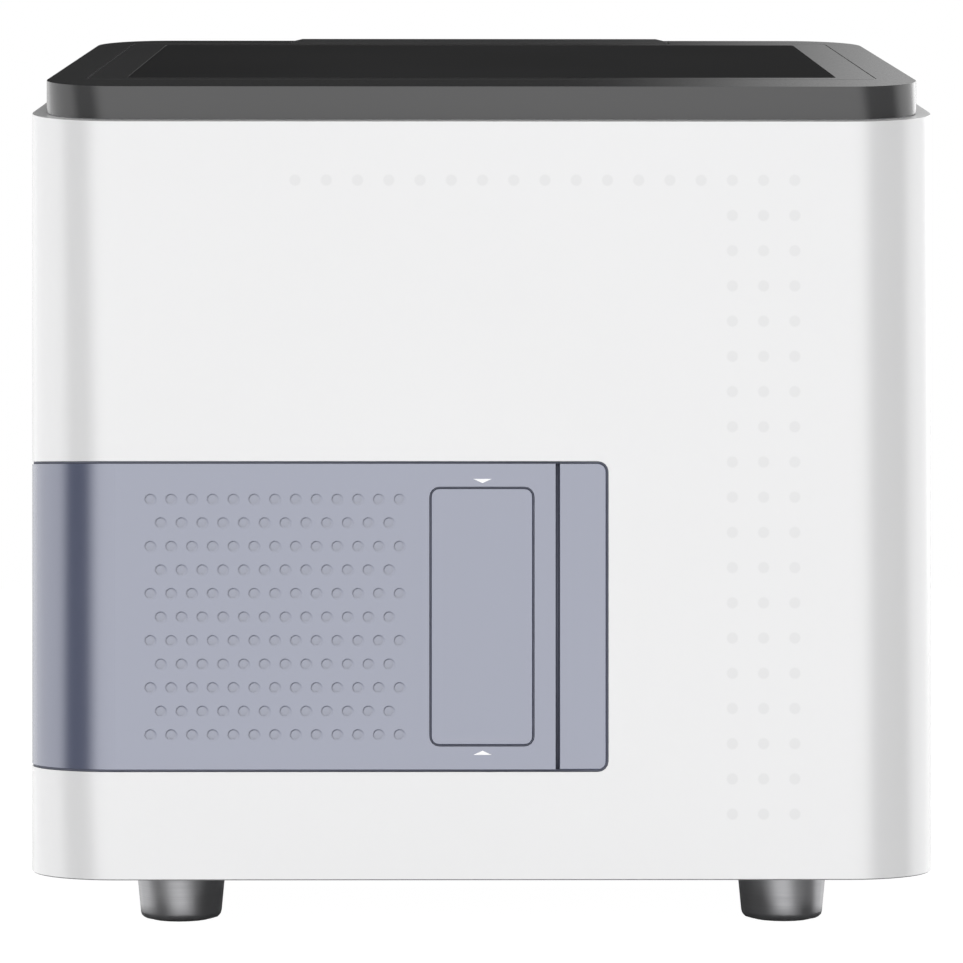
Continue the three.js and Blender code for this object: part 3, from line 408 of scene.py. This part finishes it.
# the plainer plastics: the material's name, and its values
plainPlastics = {
    "deck": ("deckPlastic", {"color": (0.061, 0.061, 0.062), "rough": 0.16, "grain": 1300.0,
                             "depth": 0.000012, "tone": 0.02}),
    "cap": ("capPlastic", {"color": (0.05, 0.05, 0.051), "rough": 0.35, "grain": 1300.0,
                           "depth": 0.000012, "ior": 1.3}),
    "seal": ("slateSeal", {"color": (0.12, 0.128, 0.17), "rough": 0.6, "tone": 0.04}),
    "trim": ("greyTrim", {"color": (0.2, 0.2, 0.205), "rough": 0.6, "tone": 0.04}),
    "dark": ("bayPlastic", {"color": (0.03, 0.032, 0.036), "rough": 0.5, "tone": 0.05}),
    "black": ("blackPlastic", {"color": (0.013, 0.013, 0.014), "rough": 0.45, "tone": 0.08}),
    "rubber": ("footRubber", {"color": (0.02, 0.02, 0.02), "rough": 0.8, "grain": 500.0,
                              "depth": 0.00005, "tone": 0.1}),
    "bezelGasket": ("bezelGasket", {"color": (0.085, 0.085, 0.087), "rough": 0.8, "tone": 0.04}),
    "gasket": ("greyGasket", {"color": (0.3, 0.3, 0.305), "rough": 0.7, "tone": 0.04}),
}
looks = {
    "white": whiteHousing(), "lens": screenLens(), "door": doorPaint(True),
    "doorPlain": doorPaint(False), "steel": turnedSteel(), "zinc": zincSheet(),
    "alloy": castAlloy(), "board": greenBoard(), "rocker": rockerPlastic(), "gold": goldPlate(),
}
for look, (name, values) in plainPlastics.items():
    looks[look] = mouldedPlastic(name, **values)[0]
print("finishes ready:", len(looks))

# which finish each carried node wears, and how wide its moulded edges are in millimetres
dressing = {
    "housing_shell": ("white", 0.7), "base_plate": ("zinc", 0.3), "top_cover": ("deck", 1.1),
    "display_bezel": ("deck", 0.15), "touch_glass": ("lens", 0.12), "lcd_panel": ("black", 0.2),
    "lcd_bracket": ("zinc", 0.2), "rear_cap": ("cap", 0.3), "card_door": ("door", 0.22),
    "release_pad": ("doorPlain", 0.35), "pad_switch_board": ("board", 0.1),
    "door_magnet": ("zinc", 0.3), "catch_plate": ("zinc", 0.1), "hinge_pin": ("steel", 0.2),
    "entry_strip": ("doorPlain", 0.3),
    "bay_frame": ("dark", 0.3), "card_tray": ("dark", 0.35), "tray_nut": ("alloy", 0.3),
    "tray_rail_left": ("alloy", 0.25), "tray_rail_right": ("alloy", 0.25),
    "tray_lead_screw": ("steel", 0.2), "screw_bearing": ("alloy", 0.3),
    "tray_motor": ("black", 0.4), "chassis_shelf": ("zinc", 0.2),
    "incubator_hood": ("alloy", 0.5), "detector_housing": ("black", 0.4),
    "photomultiplier": ("zinc", 0.5), "power_supply": ("zinc", 0.4), "main_board": ("board", 0.15),
    "rear_panel": ("zinc", 0), "fan_frame": ("black", 0.3), "fan_rotor": ("black", 0.2),
    "power_inlet": ("black", 0.3), "switch_body": ("black", 0.3), "switch_rocker": ("rocker", 0.3),
    "usb_socket_1": ("zinc", 0.1), "usb_socket_2": ("zinc", 0.1), "lan_socket": ("zinc", 0.2),
}
for place in ("front_left", "front_right", "rear_left", "rear_right"):
    dressing["foot_" + place] = ("steel", 0.3)
    dressing["foot_pad_" + place] = ("rubber", 0.5)


shellCorner = 28.0          # radius of the upright corners, in millimetres
doorRound = {"upright": 0.1, "spread": 14}
edgeLook = {"angle": 50, "steps": 3, "join": 0.000002, "evenWeight": 80}


def keepCrisp(piece):
    # the door keeps its sharp edges, and its corner is shaded as the true round that it stands for
    mesh = piece.data
    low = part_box("housing_shell")[0]
    corner = Vector((low.x + shellCorner * mm, low.y + shellCorner * mm))
    normals = []
    for face in mesh.polygons:
        for index in face.vertices:
            normal = face.normal.copy()
            out = Vector((mesh.vertices[index].co.x, mesh.vertices[index].co.y)) - corner
            if abs(normal.z) < doorRound["upright"] and out.x < 0 and out.y < 0:
                out.normalize()
                curved = Vector((out.x, out.y, 0.0))
                if abs(curved.dot(normal)) > math.cos(math.radians(doorRound["spread"])):
                    normal = curved if curved.dot(normal) > 0 else -curved
            normals.append(normal)
    mesh.polygons.foreach_set('use_smooth', [True] * len(mesh.polygons))
    mesh.normals_split_custom_set(normals)


def dropNormals(mesh, smooth):
    if "custom_normal" in mesh.attributes:
        mesh.attributes.remove(mesh.attributes["custom_normal"])
    mesh.polygons.foreach_set('use_smooth', [smooth] * len(mesh.polygons))


def softenEdges(piece, width):
    # joins the split corners, rounds the sharp ones and evens out the shading
    dropNormals(piece.data, True)
    weld = piece.modifiers.new("joinCorners", 'WELD')
    weld.merge_threshold = edgeLook["join"]
    bevel = piece.modifiers.new("softEdges", 'BEVEL')
    bevel.width = width * mm
    bevel.segments = edgeLook["steps"]
    bevel.limit_method = 'ANGLE'
    bevel.angle_limit = math.radians(edgeLook["angle"])
    bevel.use_clamp_overlap = True
    bevel.harden_normals = True
    even = piece.modifiers.new("evenShading", 'WEIGHTED_NORMAL')
    even.keep_sharp = True
    even.weight = edgeLook["evenWeight"]


for name, (look, width) in dressing.items():
    piece = nodes[name]
    piece.data.materials.clear()
    piece.data.materials.append(looks[look])
    if name == "card_door":
        keepCrisp(piece)
    elif width == 0:
        # punched sheet: its long thin faces round the slots are shaded flat
        dropNormals(piece.data, False)
    else:
        softenEdges(piece, width)
print("nodes dressed:", len(dressing))


def refinishFaces(name, look, chosen):
    # another finish for those faces of a carried node that the test picks by their middle,
    # in millimetres
    mesh = nodes[name].data
    mesh.materials.append(looks[look])
    for face in mesh.polygons:
        if chosen(face.center / mm):
            face.material_index = 1


inletPins = {"x": (-90.0, -70.0), "y": (81.4, 91.0), "z": (78.0, 90.0)}
boardTop = 27.95            # upper side of the main board, in millimetres
chipFoot = 0.2              # the chips' faces lie more than this above it
buttonBack = 1.9            # the button's faces lie more than this before the switch board's back
refinishFaces("power_inlet", "steel", lambda at: all(low < value < high for value, (low, high)
                                                     in zip(at, inletPins.values())))
refinishFaces("main_board", "black", lambda at: at.z > boardTop + chipFoot)
switchBoardBack = millimetreBox("pad_switch_board")[3]
refinishFaces("pad_switch_board", "black", lambda at: at.y < switchBoardBack - buttonBack)
print("pins, chips and button refinished")


def makePiece(name, body, look, build):
    # builds one mesh piece with bmesh and lets it ride on its body
    mesh = bpy.data.meshes.new(name)
    shape = bmesh.new()
    build(shape)
    bmesh.ops.recalc_face_normals(shape, faces=shape.faces)
    shape.to_mesh(mesh)
    shape.free()
    mesh.polygons.foreach_set('use_smooth', [True] * len(mesh.polygons))
    mesh.materials.append(looks[look])
    piece = bpy.data.objects.new(name, mesh)
    scene.collection.objects.link(piece)
    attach(piece, body)
    return piece


def addTurned(shape, centre, out, rings, sides):
    # a turned piece that stands on a face: rings of a height and one radius, or one for each side
    out = Vector(out).normalized()
    side = out.orthogonal().normalized()
    turn = Matrix((side, out.cross(side), out)).transposed().to_4x4()
    place = Matrix.Translation(Vector(centre) * mm) @ turn
    angles = [2 * math.pi * i / sides for i in range(sides)]
    loops = []
    for height, reach in rings:
        radii = reach if isinstance(reach, list) else [reach] * sides
        loops.append([shape.verts.new(place @ (Vector((r * math.cos(a), r * math.sin(a), height))
                                               * mm))
                      for r, a in zip(radii, angles)])
    for low, high in zip(loops, loops[1:]):
        for i in range(sides):
            j = (i + 1) % sides
            shape.faces.new((low[i], low[j], high[j], high[i]))
    shape.faces.new(list(reversed(loops[0])))
    shape.faces.new(loops[-1])


# a head's profile is given in shares of its rise and radius, and its recess in shares of its radius
screwSizes = {"rise": 0.9, "sides": 16, "recess": 0.45, "recessShare": 0.6, "armShare": 0.42,
              "hubShare": 0.165,
              "profileShares": ((0.0, 1.0), (0.45, 1.0), (0.75, 0.92), (0.95, 0.7), (1.0, 0.5))}


def addScrew(shape, centre, out, radius, rise=screwSizes["rise"]):
    # a pan head with a cross recess
    s = screwSizes
    cross = [radius * (s["armShare"] if i % 4 == 0 else s["hubShare"]) for i in range(s["sides"])]
    rings = [(rise * up, radius * share) for up, share in s["profileShares"]]
    rings.append((rise - min(s["recess"], rise * s["recessShare"]), cross))
    addTurned(shape, centre, out, rings, s["sides"])


def fourCorners(x0, x1, z0, z1, inset):
    return [(x, z) for x in (x0 + inset, x1 - inset) for z in (z0 + inset, z1 - inset)]


rearScrewSizes = {"inset": 9.5, "radius": 2.6}


def rearScrews(shape):
    # eight round the rear panel
    r = rearScrewSizes
    x0, x1, inner, face, z0, z1 = millimetreBox("rear_panel")
    left, right, bottom, top = x0 + r["inset"], x1 - r["inset"], z0 + r["inset"], z1 - r["inset"]
    places = [(x, z) for x in (left, (left + right) / 2, right) for z in (bottom, top)]
    for x, z in places + [(left, (bottom + top) / 2), (right, (bottom + top) / 2)]:
        addScrew(shape, (x, face, z), (0, 1, 0), r["radius"])


fanScrewSizes = {"inset": 5.0, "radius": 2.4}


def fanScrews(shape):
    x0, x1, y0, y1, z0, z1 = millimetreBox("fan_frame")
    face = millimetreBox("rear_panel")[3]
    for x, z in fourCorners(x0, x1, z0, z1, fanScrewSizes["inset"]):
        addScrew(shape, (x, face, z), (0, 1, 0), fanScrewSizes["radius"])


baseScrewSizes = {"sideInset": 14.0, "sidePlace": 30.0, "endInset": 9.0, "endPlace": 45.0,
                  "radius": 2.6}


def baseScrews(shape):
    # two near each side of the base plate, and two near its front and back
    b = baseScrewSizes
    x0, x1, y0, y1, face, top = millimetreBox("base_plate")
    places = [(x, y) for x in (x0 + b["sideInset"], x1 - b["sideInset"])
              for y in (-b["sidePlace"], b["sidePlace"])]
    places += [(x, y) for x in (-b["endPlace"], b["endPlace"])
               for y in (y0 + b["endInset"], y1 - b["endInset"])]
    for x, y in places:
        addScrew(shape, (x, y, face), (0, 0, -1), b["radius"])


bayScrewSizes = {"face": -87.5, "x": (-101.0, 16.0), "z": (52.0, 132.0), "radius": 2.0,
                 "plateInset": 2.6, "plateRadius": 1.4, "plateRise": 0.5}


def bayScrews(shape):
    # hold the bay surround and the catch plate; they show when the door is open
    b = bayScrewSizes
    for x in b["x"]:
        for z in b["z"]:
            addScrew(shape, (x, b["face"], z), (0, -1, 0), b["radius"])
    x0, x1, face, back, z0, z1 = millimetreBox("catch_plate")
    for z in (z0 + b["plateInset"], z1 - b["plateInset"]):
        addScrew(shape, ((x0 + x1) / 2, face, z), (0, -1, 0), b["plateRadius"], b["plateRise"])


# how far in from the corners of each inner module its screws sit, and their radius
moduleScrewSizes = {"incubator_hood": (5.0, 2.0), "detector_housing": (4.0, 1.6),
                    "power_supply": (5.0, 2.0), "tray_motor": (3.2, 1.4)}


def moduleScrews(shape):
    # on top of the hood, the detector and the power supply, and on the back of the tray motor
    for name, (inset, radius) in moduleScrewSizes.items():
        x0, x1, y0, y1, z0, z1 = millimetreBox(name)
        if name == "tray_motor":
            for x, z in fourCorners(x0, x1, z0, z1, inset):
                addScrew(shape, (x, y1, z), (0, 1, 0), radius)
        else:
            for x, y in fourCorners(x0, x1, y0, y1, inset):
                addScrew(shape, (x, y, z1), (0, 0, 1), radius)


makePiece("rear_panel_screws", "machine", "steel", rearScrews)
makePiece("fan_screws", "machine", "steel", fanScrews)
makePiece("base_screws", "machine", "steel", baseScrews)
makePiece("bay_screws", "machine", "steel", bayScrews)
makePiece("module_screws", "machine", "steel", moduleScrews)
print("fasteners added")


def sweepBar(shape, sections, closed=False):
    # a bar whose four-cornered sections, in millimetres, follow each other along its length
    rings = [[shape.verts.new(Vector(point) * mm) for point in section] for section in sections]
    pairs = list(zip(rings, rings[1:]))
    if closed:
        pairs.append((rings[-1], rings[0]))
    else:
        shape.faces.new(rings[0])
        shape.faces.new(list(reversed(rings[-1])))
    for near, far in pairs:
        for i in range(4):
            j = (i + 1) % 4
            shape.faces.new((near[i], near[j], far[j], far[i]))


def addBlock(shape, x0, x1, y0, y1, z0, z1):
    sweepBar(shape, [((x0, y0, z), (x1, y0, z), (x1, y1, z), (x0, y1, z)) for z in (z0, z1)])


def frontBar(shape, inner, outer, y0, y1, closed=False):
    # a bar between two lines drawn on the front, from one depth to another
    sweepBar(shape, [((a[0], y0, a[1]), (b[0], y0, b[1]), (b[0], y1, b[1]), (a[0], y1, a[1]))
                     for a, b in zip(inner, outer)], closed)


def standingBar(shape, outer, inner, foot, top, closed=False):
    # a bar between two lines drawn on the plan, with its foot and top as heights for each depth
    sweepBar(shape, [((a[0], a[1], foot(a[1])), (a[0], a[1], top(a[1])),
                      (b[0], b[1], top(b[1])), (b[0], b[1], foot(b[1])))
                     for a, b in zip(outer, inner)], closed)


def roundedLine(x0, x1, z0, z1, radius, steps=6):
    # corner by corner points of a rounded rectangle, from its upper left corner rightwards
    points = []
    for cx, cz, start in ((x0 + radius, z1 - radius, 180), (x1 - radius, z1 - radius, 90),
                          (x1 - radius, z0 + radius, 0), (x0 + radius, z0 + radius, -90)):
        for i in range(steps + 1):
            angle = math.radians(start - 90 * i / steps)
            points.append((cx + radius * math.cos(angle), cz + radius * math.sin(angle)))
    return points


def widerLine(box, out, radius, steps=6):
    # the same, set out all round from a box, or set in where the distance is negative
    x0, x1, z0, z1 = box
    return roundedLine(x0 - out, x1 + out, z0 - out, z1 + out, radius + out, steps)


shellSteps = {"corner": 12, "ring": 10}
sealSizes = {"gap": 0.75, "padGap": 0.6, "corner": 2.4, "play": 0.04, "depth": 0.45, "thick": 0.8,
             "grooveDepth": 1.5, "backStop": -38.0, "stripRunOut": 20.0}


def shellLine(inset):
    # the housing's outline from the door's hinge side round to the front, set in by a distance
    left, right, front = shellBox[:3]
    points = [(left + inset, sealSizes["backStop"])]
    reach = shellCorner - inset
    for i in range(shellSteps["corner"] + 1):
        angle = math.radians(180 + 90 * i / shellSteps["corner"])
        points.append((left + shellCorner + reach * math.cos(angle),
                       front + shellCorner + reach * math.sin(angle)))
    return points


def doorSeals(shape):
    # slate seals that lie in the narrow gaps above and below the door, and in the groove beside it
    s = sealSizes
    left, right, front, back, bottom, top = millimetreBox("card_door")
    stripLeft = millimetreBox("entry_strip")[0]
    near, far = s["depth"], s["depth"] + s["thick"]
    outer = shellLine(near) + [(stripLeft, front + near)]
    inner = shellLine(far) + [(stripLeft, front + far)]
    for z0, z1 in ((bottom - s["gap"] + s["play"], bottom - s["play"]),
                   (top + s["play"], top + s["gap"] - s["play"])):
        standingBar(shape, outer, inner, lambda y: z0, lambda y: z1)
    groove = front + s["grooveDepth"]
    addBlock(shape, right + s["play"], stripLeft - s["play"], groove, groove + s["thick"],
             bottom, top)


def stripSeal(shape):
    # the seal round the three free edges of the fixed strip
    s = sealSizes
    x0, x1, front, back, z0, z1 = millimetreBox("entry_strip")
    near, far = s["play"], s["gap"] - s["play"]
    box = (x0 - s["stripRunOut"], x1, z0, z1)
    inner, outer = widerLine(box, near, s["corner"]), widerLine(box, far, s["corner"])
    keep = [i for i, point in enumerate(inner) if point[0] > x0 + near]
    inner = [(x0, z1 + near)] + [inner[i] for i in keep] + [(x0, z0 - near)]
    outer = [(x0, z1 + far)] + [outer[i] for i in keep] + [(x0, z0 - far)]
    frontBar(shape, inner, outer, front + s["depth"], front + s["depth"] + s["thick"])


def padSeal(shape):
    # a seal ring in the gap round the press pad
    s = sealSizes
    x0, x1, front, back, z0, z1 = millimetreBox("release_pad")
    inner = widerLine((x0, x1, z0, z1), s["play"], s["corner"])
    outer = widerLine((x0, x1, z0, z1), s["padGap"] - s["play"], s["corner"])
    frontBar(shape, inner, outer, front + s["depth"], front + s["depth"] + s["thick"], closed=True)


trimSizes = {"inset": 0.4, "width": 1.8, "drop": 0.3}


def bottomTrim(shape):
    # a thin grey edge strip under the shell's lower edge, all the way round
    t = trimSizes
    outer, inner = [widerLine(shellBox[:4], -inset, shellCorner, shellSteps["ring"])
                    for inset in (t["inset"], t["inset"] + t["width"])]
    standingBar(shape, outer, inner, lambda y: shellBox[4] - t["drop"], lambda y: shellBox[4],
                closed=True)


deckSlope = 11.7            # of the housing's rim and the display, in degrees


def rimHeight(y):
    # height of the housing's sloping rim at a depth
    return shellBox[5] - (shellBox[3] - y) * math.tan(math.radians(deckSlope))


bezelSeal = {"gap": 0.3, "play": 0.03, "corner": 3.0, "below": 0.12, "deep": 1.0, "rise": 10.0}


def bezelGasket(shape):
    # a grey seal in the narrow gap round the display's bezel
    s = bezelSeal
    near, far = [widerLine(millimetreBox("display_bezel")[:4], out, s["corner"])
                 for out in (s["play"], s["gap"] - s["play"])]
    standingBar(shape, near, far, lambda y: rimHeight(y) + s["rise"] - s["deep"],
                lambda y: rimHeight(y) + s["rise"] - s["below"], closed=True)


gasketSizes = {"inset": 4.55, "width": 2.3, "foot": 0.02, "top": 0.28}


def lidGasket(shape):
    # a soft strip on the housing's sloping rim, which the lid rests on
    s = gasketSizes
    outer, inner = [widerLine(shellBox[:4], -inset, shellCorner, shellSteps["ring"])
                    for inset in (s["inset"], s["inset"] + s["width"])]
    standingBar(shape, outer, inner, lambda y: rimHeight(y) + s["foot"],
                lambda y: rimHeight(y) + s["top"], closed=True)


makePiece("door_seals", "machine", "seal", doorSeals)
makePiece("strip_seal", "machine", "seal", stripSeal)
makePiece("pad_seal", "door", "seal", padSeal)
makePiece("bottom_trim", "machine", "trim", bottomTrim)
makePiece("bezel_gasket", "machine", "bezelGasket", bezelGasket)
makePiece("lid_gasket", "machine", "gasket", lidGasket)
print("seals and trim added")


# the network contacts follow a line of steps back from the socket's face and down from its top
contactSizes = {"lanCount": 8, "lanPitch": 1.02, "lanWidth": 0.4, "lanThick": 0.3, "lanDown": 1.62,
                "lanLine": ((2.6, 0.0), (4.0, 0.3), (10.6, 3.4)),
                "usbCount": 4, "usbPitch": 2.0, "usbWidth": 1.1, "usbBack": (10.0, 2.0),
                "usbSkin": (0.12, 0.01)}


def socketContacts(shape):
    # eight spring contacts in the network socket, and four strips under each data socket's tongue
    c = contactSizes
    x0, x1, y0, face, z0, z1 = millimetreBox("lan_socket")
    half, thick = c["lanWidth"] / 2, c["lanThick"]
    for i in range(c["lanCount"]):
        x = (x0 + x1) / 2 + (i - (c["lanCount"] - 1) / 2) * c["lanPitch"]
        line = [(face - back, z1 - c["lanDown"] - down) for back, down in c["lanLine"]]
        sweepBar(shape, [((x - half, y, z), (x + half, y, z),
                          (x + half, y, z - thick), (x - half, y, z - thick)) for y, z in line])
    half = c["usbWidth"] / 2
    for name in ("usb_socket_1", "usb_socket_2"):
        x0, x1, y0, face, z0, z1 = millimetreBox(name)
        for i in range(c["usbCount"]):
            x = (x0 + x1) / 2 + (i - (c["usbCount"] - 1) / 2) * c["usbPitch"]
            addBlock(shape, x - half, x + half, face - c["usbBack"][0], face - c["usbBack"][1],
                     (z0 + z1) / 2 - c["usbSkin"][0], (z0 + z1) / 2 - c["usbSkin"][1])


boardParts = {"lift": 0.05, "packageHalf": (4.0, 3.0), "packageHeight": 1.8, "headerHeight": 6.5,
              "packages": ((66.0, 2.0), (84.0, 2.0), (66.0, 14.0), (84.0, 14.0), (70.0, 62.0),
                           (92.0, 62.0)),
              "headers": ((98.0, 104.0, -8.0, 18.0), (56.0, 88.0, -12.0, -7.0))}


def boardPackages(shape):
    # small chips and cable headers on the main board
    b = boardParts
    low = boardTop + b["lift"]
    halfX, halfY = b["packageHalf"]
    for x, y in b["packages"]:
        addBlock(shape, x - halfX, x + halfX, y - halfY, y + halfY, low, low + b["packageHeight"])
    for x0, x1, y0, y1 in b["headers"]:
        addBlock(shape, x0, x1, y0, y1, low, low + b["headerHeight"])


capacitorSizes = {"places": ((42.0, -2.0), (42.0, 9.0), (42.0, 20.0)), "radius": 4.0, "height": 9.0,
                  "groove": (0.8, 1.1, 1.4), "grooveDepth": 0.3, "rim": 0.4, "sides": 20}


def boardCapacitors(shape):
    # upright cans with a pressed groove near the foot
    c = capacitorSizes
    r, h = c["radius"], c["height"]
    under, middle, over = c["groove"]
    rings = [(0.0, r), (under, r), (middle, r - c["grooveDepth"]), (over, r),
             (h - c["rim"], r), (h, r - c["rim"])]
    for x, y in c["places"]:
        addTurned(shape, (x, y, boardTop + boardParts["lift"]), (0, 0, 1), rings, c["sides"])


collarSizes = {"inside": 0.1, "outside": 4.0, "foot": 0.05, "top": 2.6, "steps": 28}


def tubeCollar(shape):
    # clamps the light detector's tube where it leaves its housing
    c = collarSizes
    x0, x1, y0, y1 = millimetreBox("photomultiplier")[:4]
    x, y, r, z = (x0 + x1) / 2, (y0 + y1) / 2, (x1 - x0) / 2, millimetreBox("detector_housing")[5]
    section = ((c["inside"], c["foot"]), (c["outside"], c["foot"]),
               (c["outside"], c["top"]), (c["inside"], c["top"]))
    rings = []
    for i in range(c["steps"]):
        angle = 2 * math.pi * i / c["steps"]
        rings.append([(x + (r + out) * math.cos(angle), y + (r + out) * math.sin(angle), z + up)
                      for out, up in section])
    sweepBar(shape, rings, closed=True)


makePiece("socket_contacts", "machine", "gold", socketContacts)
makePiece("board_packages", "machine", "black", boardPackages)
makePiece("board_capacitors", "machine", "alloy", boardCapacitors)
makePiece("tube_collar", "machine", "alloy", tubeCollar)
print("contacts and board parts added")


# the studio: a floor that fades into the white background, and a ring of softboxes in the world
floorLook = {"size": 6.0, "color": (0.9, 0.9, 0.9), "keepShadow": 0.1, "bounce": 0.5, "glow": 1.1}


def stagePlane(name, corners):
    mesh = bpy.data.meshes.new(name)
    mesh.from_pydata(corners, [], [list(range(len(corners)))])
    plane = bpy.data.objects.new(name, mesh)
    scene.collection.objects.link(plane)
    return plane


def pourFloor():
    # glows white where it is seen, and takes the machine's shadow; metal and gloss mirror the
    # world instead
    half = floorLook["size"] / 2
    floor = stagePlane("studioFloor", [(-half, -half, 0), (half, -half, 0),
                                       (half, half, 0), (-half, half, 0)])
    material = bpy.data.materials.new("paleFloor")
    material.use_nodes = True
    wires = Wiring(material.node_tree)
    material.node_tree.nodes.remove(material.node_tree.nodes['Principled BSDF'])
    lit = wires.add('ShaderNodeBsdfDiffuse')
    lit.inputs['Color'].default_value = rgba(*floorLook["color"])
    glow = wires.add('ShaderNodeEmission')
    glow.inputs['Color'].default_value = rgba(1.0, 1.0, 1.0)
    glow.inputs['Strength'].default_value = floorLook["glow"]
    rays = wires.add('ShaderNodeLightPath')
    seen = wires.math('ADD', rays.outputs['Is Camera Ray'], rays.outputs['Is Glossy Ray'],
                      clamp=True)
    seen = wires.math('ADD', seen, rays.outputs['Is Transmission Ray'], clamp=True)
    mix = wires.add('ShaderNodeMixShader')
    wires.plug(wires.remap(seen, 0.0, 1.0, floorLook["bounce"], 1.0 - floorLook["keepShadow"]),
               mix.inputs[0])
    wires.plug(lit.outputs[0], mix.inputs[1])
    wires.plug(glow.outputs[0], mix.inputs[2])
    wires.plug(mix.outputs[0], material.node_tree.nodes['Material Output'].inputs['Surface'])
    floor.data.materials.append(material)
    floor.visible_glossy = False


# each softbox: azimuth and height of its middle in degrees, half its width, soft edge, brightness;
# the two low ones are the bright table that the glossy walls mirror when they are seen from above
softboxes = {
    "key": {"azimuth": -1.1, "height": 5, "half": 33.4, "edge": 22, "power": 2.08},
    "leftRim": {"azimuth": -116, "height": 6, "half": 42, "edge": 19, "power": 1.45},
    "rightRim": {"azimuth": 125.5, "height": 6, "half": 33.5, "edge": 24, "power": 1.65},
    "top": {"azimuth": 0, "height": 84, "half": 30, "edge": 20, "power": 1.0},
    "tableLeft": {"azimuth": -54, "height": -43, "half": 24, "edge": 10, "power": 0.85},
    "tableRight": {"azimuth": 60, "height": -43, "half": 26, "edge": 10, "power": 0.85},
    "deckGlow": {"azimuth": 151.5, "height": 20, "half": 19.3, "edge": 12, "power": 0.99},
}
worldLook = {"fill": 0.02, "horizon": 1.0, "horizonTop": 6.0, "horizonSoft": 4.0, "backHalf": 36.0,
             "backSoft": 12.0}


def softboxGlow(wires, way, lamp):
    # full inside the lamp's half width, and fading to nothing across its soft edge
    azimuth, height = math.radians(lamp["azimuth"]), math.radians(lamp["height"])
    facing = wires.add('ShaderNodeVectorMath', operation='DOT_PRODUCT')
    wires.plug(way, facing.inputs[0])
    facing.inputs[1].default_value = (math.sin(azimuth) * math.cos(height),
                                      -math.cos(azimuth) * math.cos(height), math.sin(height))
    outer = math.cos(math.radians(lamp["half"] + lamp["edge"] / 2))
    inner = math.cos(math.radians(lamp["half"] - lamp["edge"] / 2))
    return wires.remap(facing.outputs['Value'], outer, inner, 0.0, lamp["power"], smooth=True)


def backdropGlow(wires, way):
    # the white backdrop behind the machine, up to just above the horizon, as metal and gloss see it
    w = worldLook
    split = wires.add('ShaderNodeSeparateXYZ')
    wires.plug(way, split.inputs[0])
    start = math.sin(math.radians(w["horizonTop"]))
    top = math.sin(math.radians(w["horizonTop"] + w["horizonSoft"]))
    low = wires.remap(split.outputs['Z'], start, top, 1.0, 0.0, smooth=True)
    outer = math.cos(math.radians(w["backHalf"] + w["backSoft"]))
    inner = math.cos(math.radians(w["backHalf"] - w["backSoft"]))
    behind = wires.remap(split.outputs['Y'], outer, inner, 0.0, w["horizon"], smooth=True)
    return wires.product(low, behind)


def hangSoftboxes():
    world = bpy.data.worlds.new("studioWorld")
    scene.world = world
    world.use_nodes = True
    wires = Wiring(world.node_tree)
    background = world.node_tree.nodes['Background']
    unit = wires.add('ShaderNodeVectorMath', operation='NORMALIZE')
    wires.plug(wires.add('ShaderNodeTexCoord').outputs['Generated'], unit.inputs[0])
    way = unit.outputs[0]
    total = worldLook["fill"]
    for lamp in softboxes.values():
        total = wires.math('ADD', softboxGlow(wires, way, lamp), total)
    total = wires.math('MAXIMUM', total, backdropGlow(wires, way))
    # the camera itself sees plain white
    seen = wires.add('ShaderNodeLightPath').outputs['Is Camera Ray']
    kept = wires.product(total, wires.math('SUBTRACT', 1.0, seen))
    wires.plug(wires.math('ADD', kept, seen), background.inputs['Strength'])
    background.inputs['Color'].default_value = rgba(1.0, 1.0, 1.0)


# the dark sheet of painted shadow under the machine: half its size each way, corner, lift and grey
shadeLook = {"halfX": 113.0, "halfY": 86.0, "corner": 16.0, "lift": 0.1, "tone": 0.45}


def shadeTable():
    # painted shadow of the machine on the table: a dark sheet that only the bright feet mirror
    s = shadeLook
    outline = roundedLine(-s["halfX"], s["halfX"], -s["halfY"], s["halfY"], s["corner"])
    shade = stagePlane("tableShade", [(x * mm, y * mm, s["lift"] * mm) for x, y in outline])
    material = bpy.data.materials.new("tableShade")
    material.use_nodes = True
    surface = material.node_tree.nodes['Principled BSDF']
    surface.inputs['Base Color'].default_value = rgba(*[s["tone"]] * 3)
    surface.inputs['Roughness'].default_value = 1.0
    surface.inputs['Specular IOR Level'].default_value = 0.0
    shade.data.materials.append(material)
    shade.visible_camera = False
    shade.visible_diffuse = False
    shade.visible_shadow = False


pourFloor()
shadeTable()
hangSoftboxes()
print("studio ready")
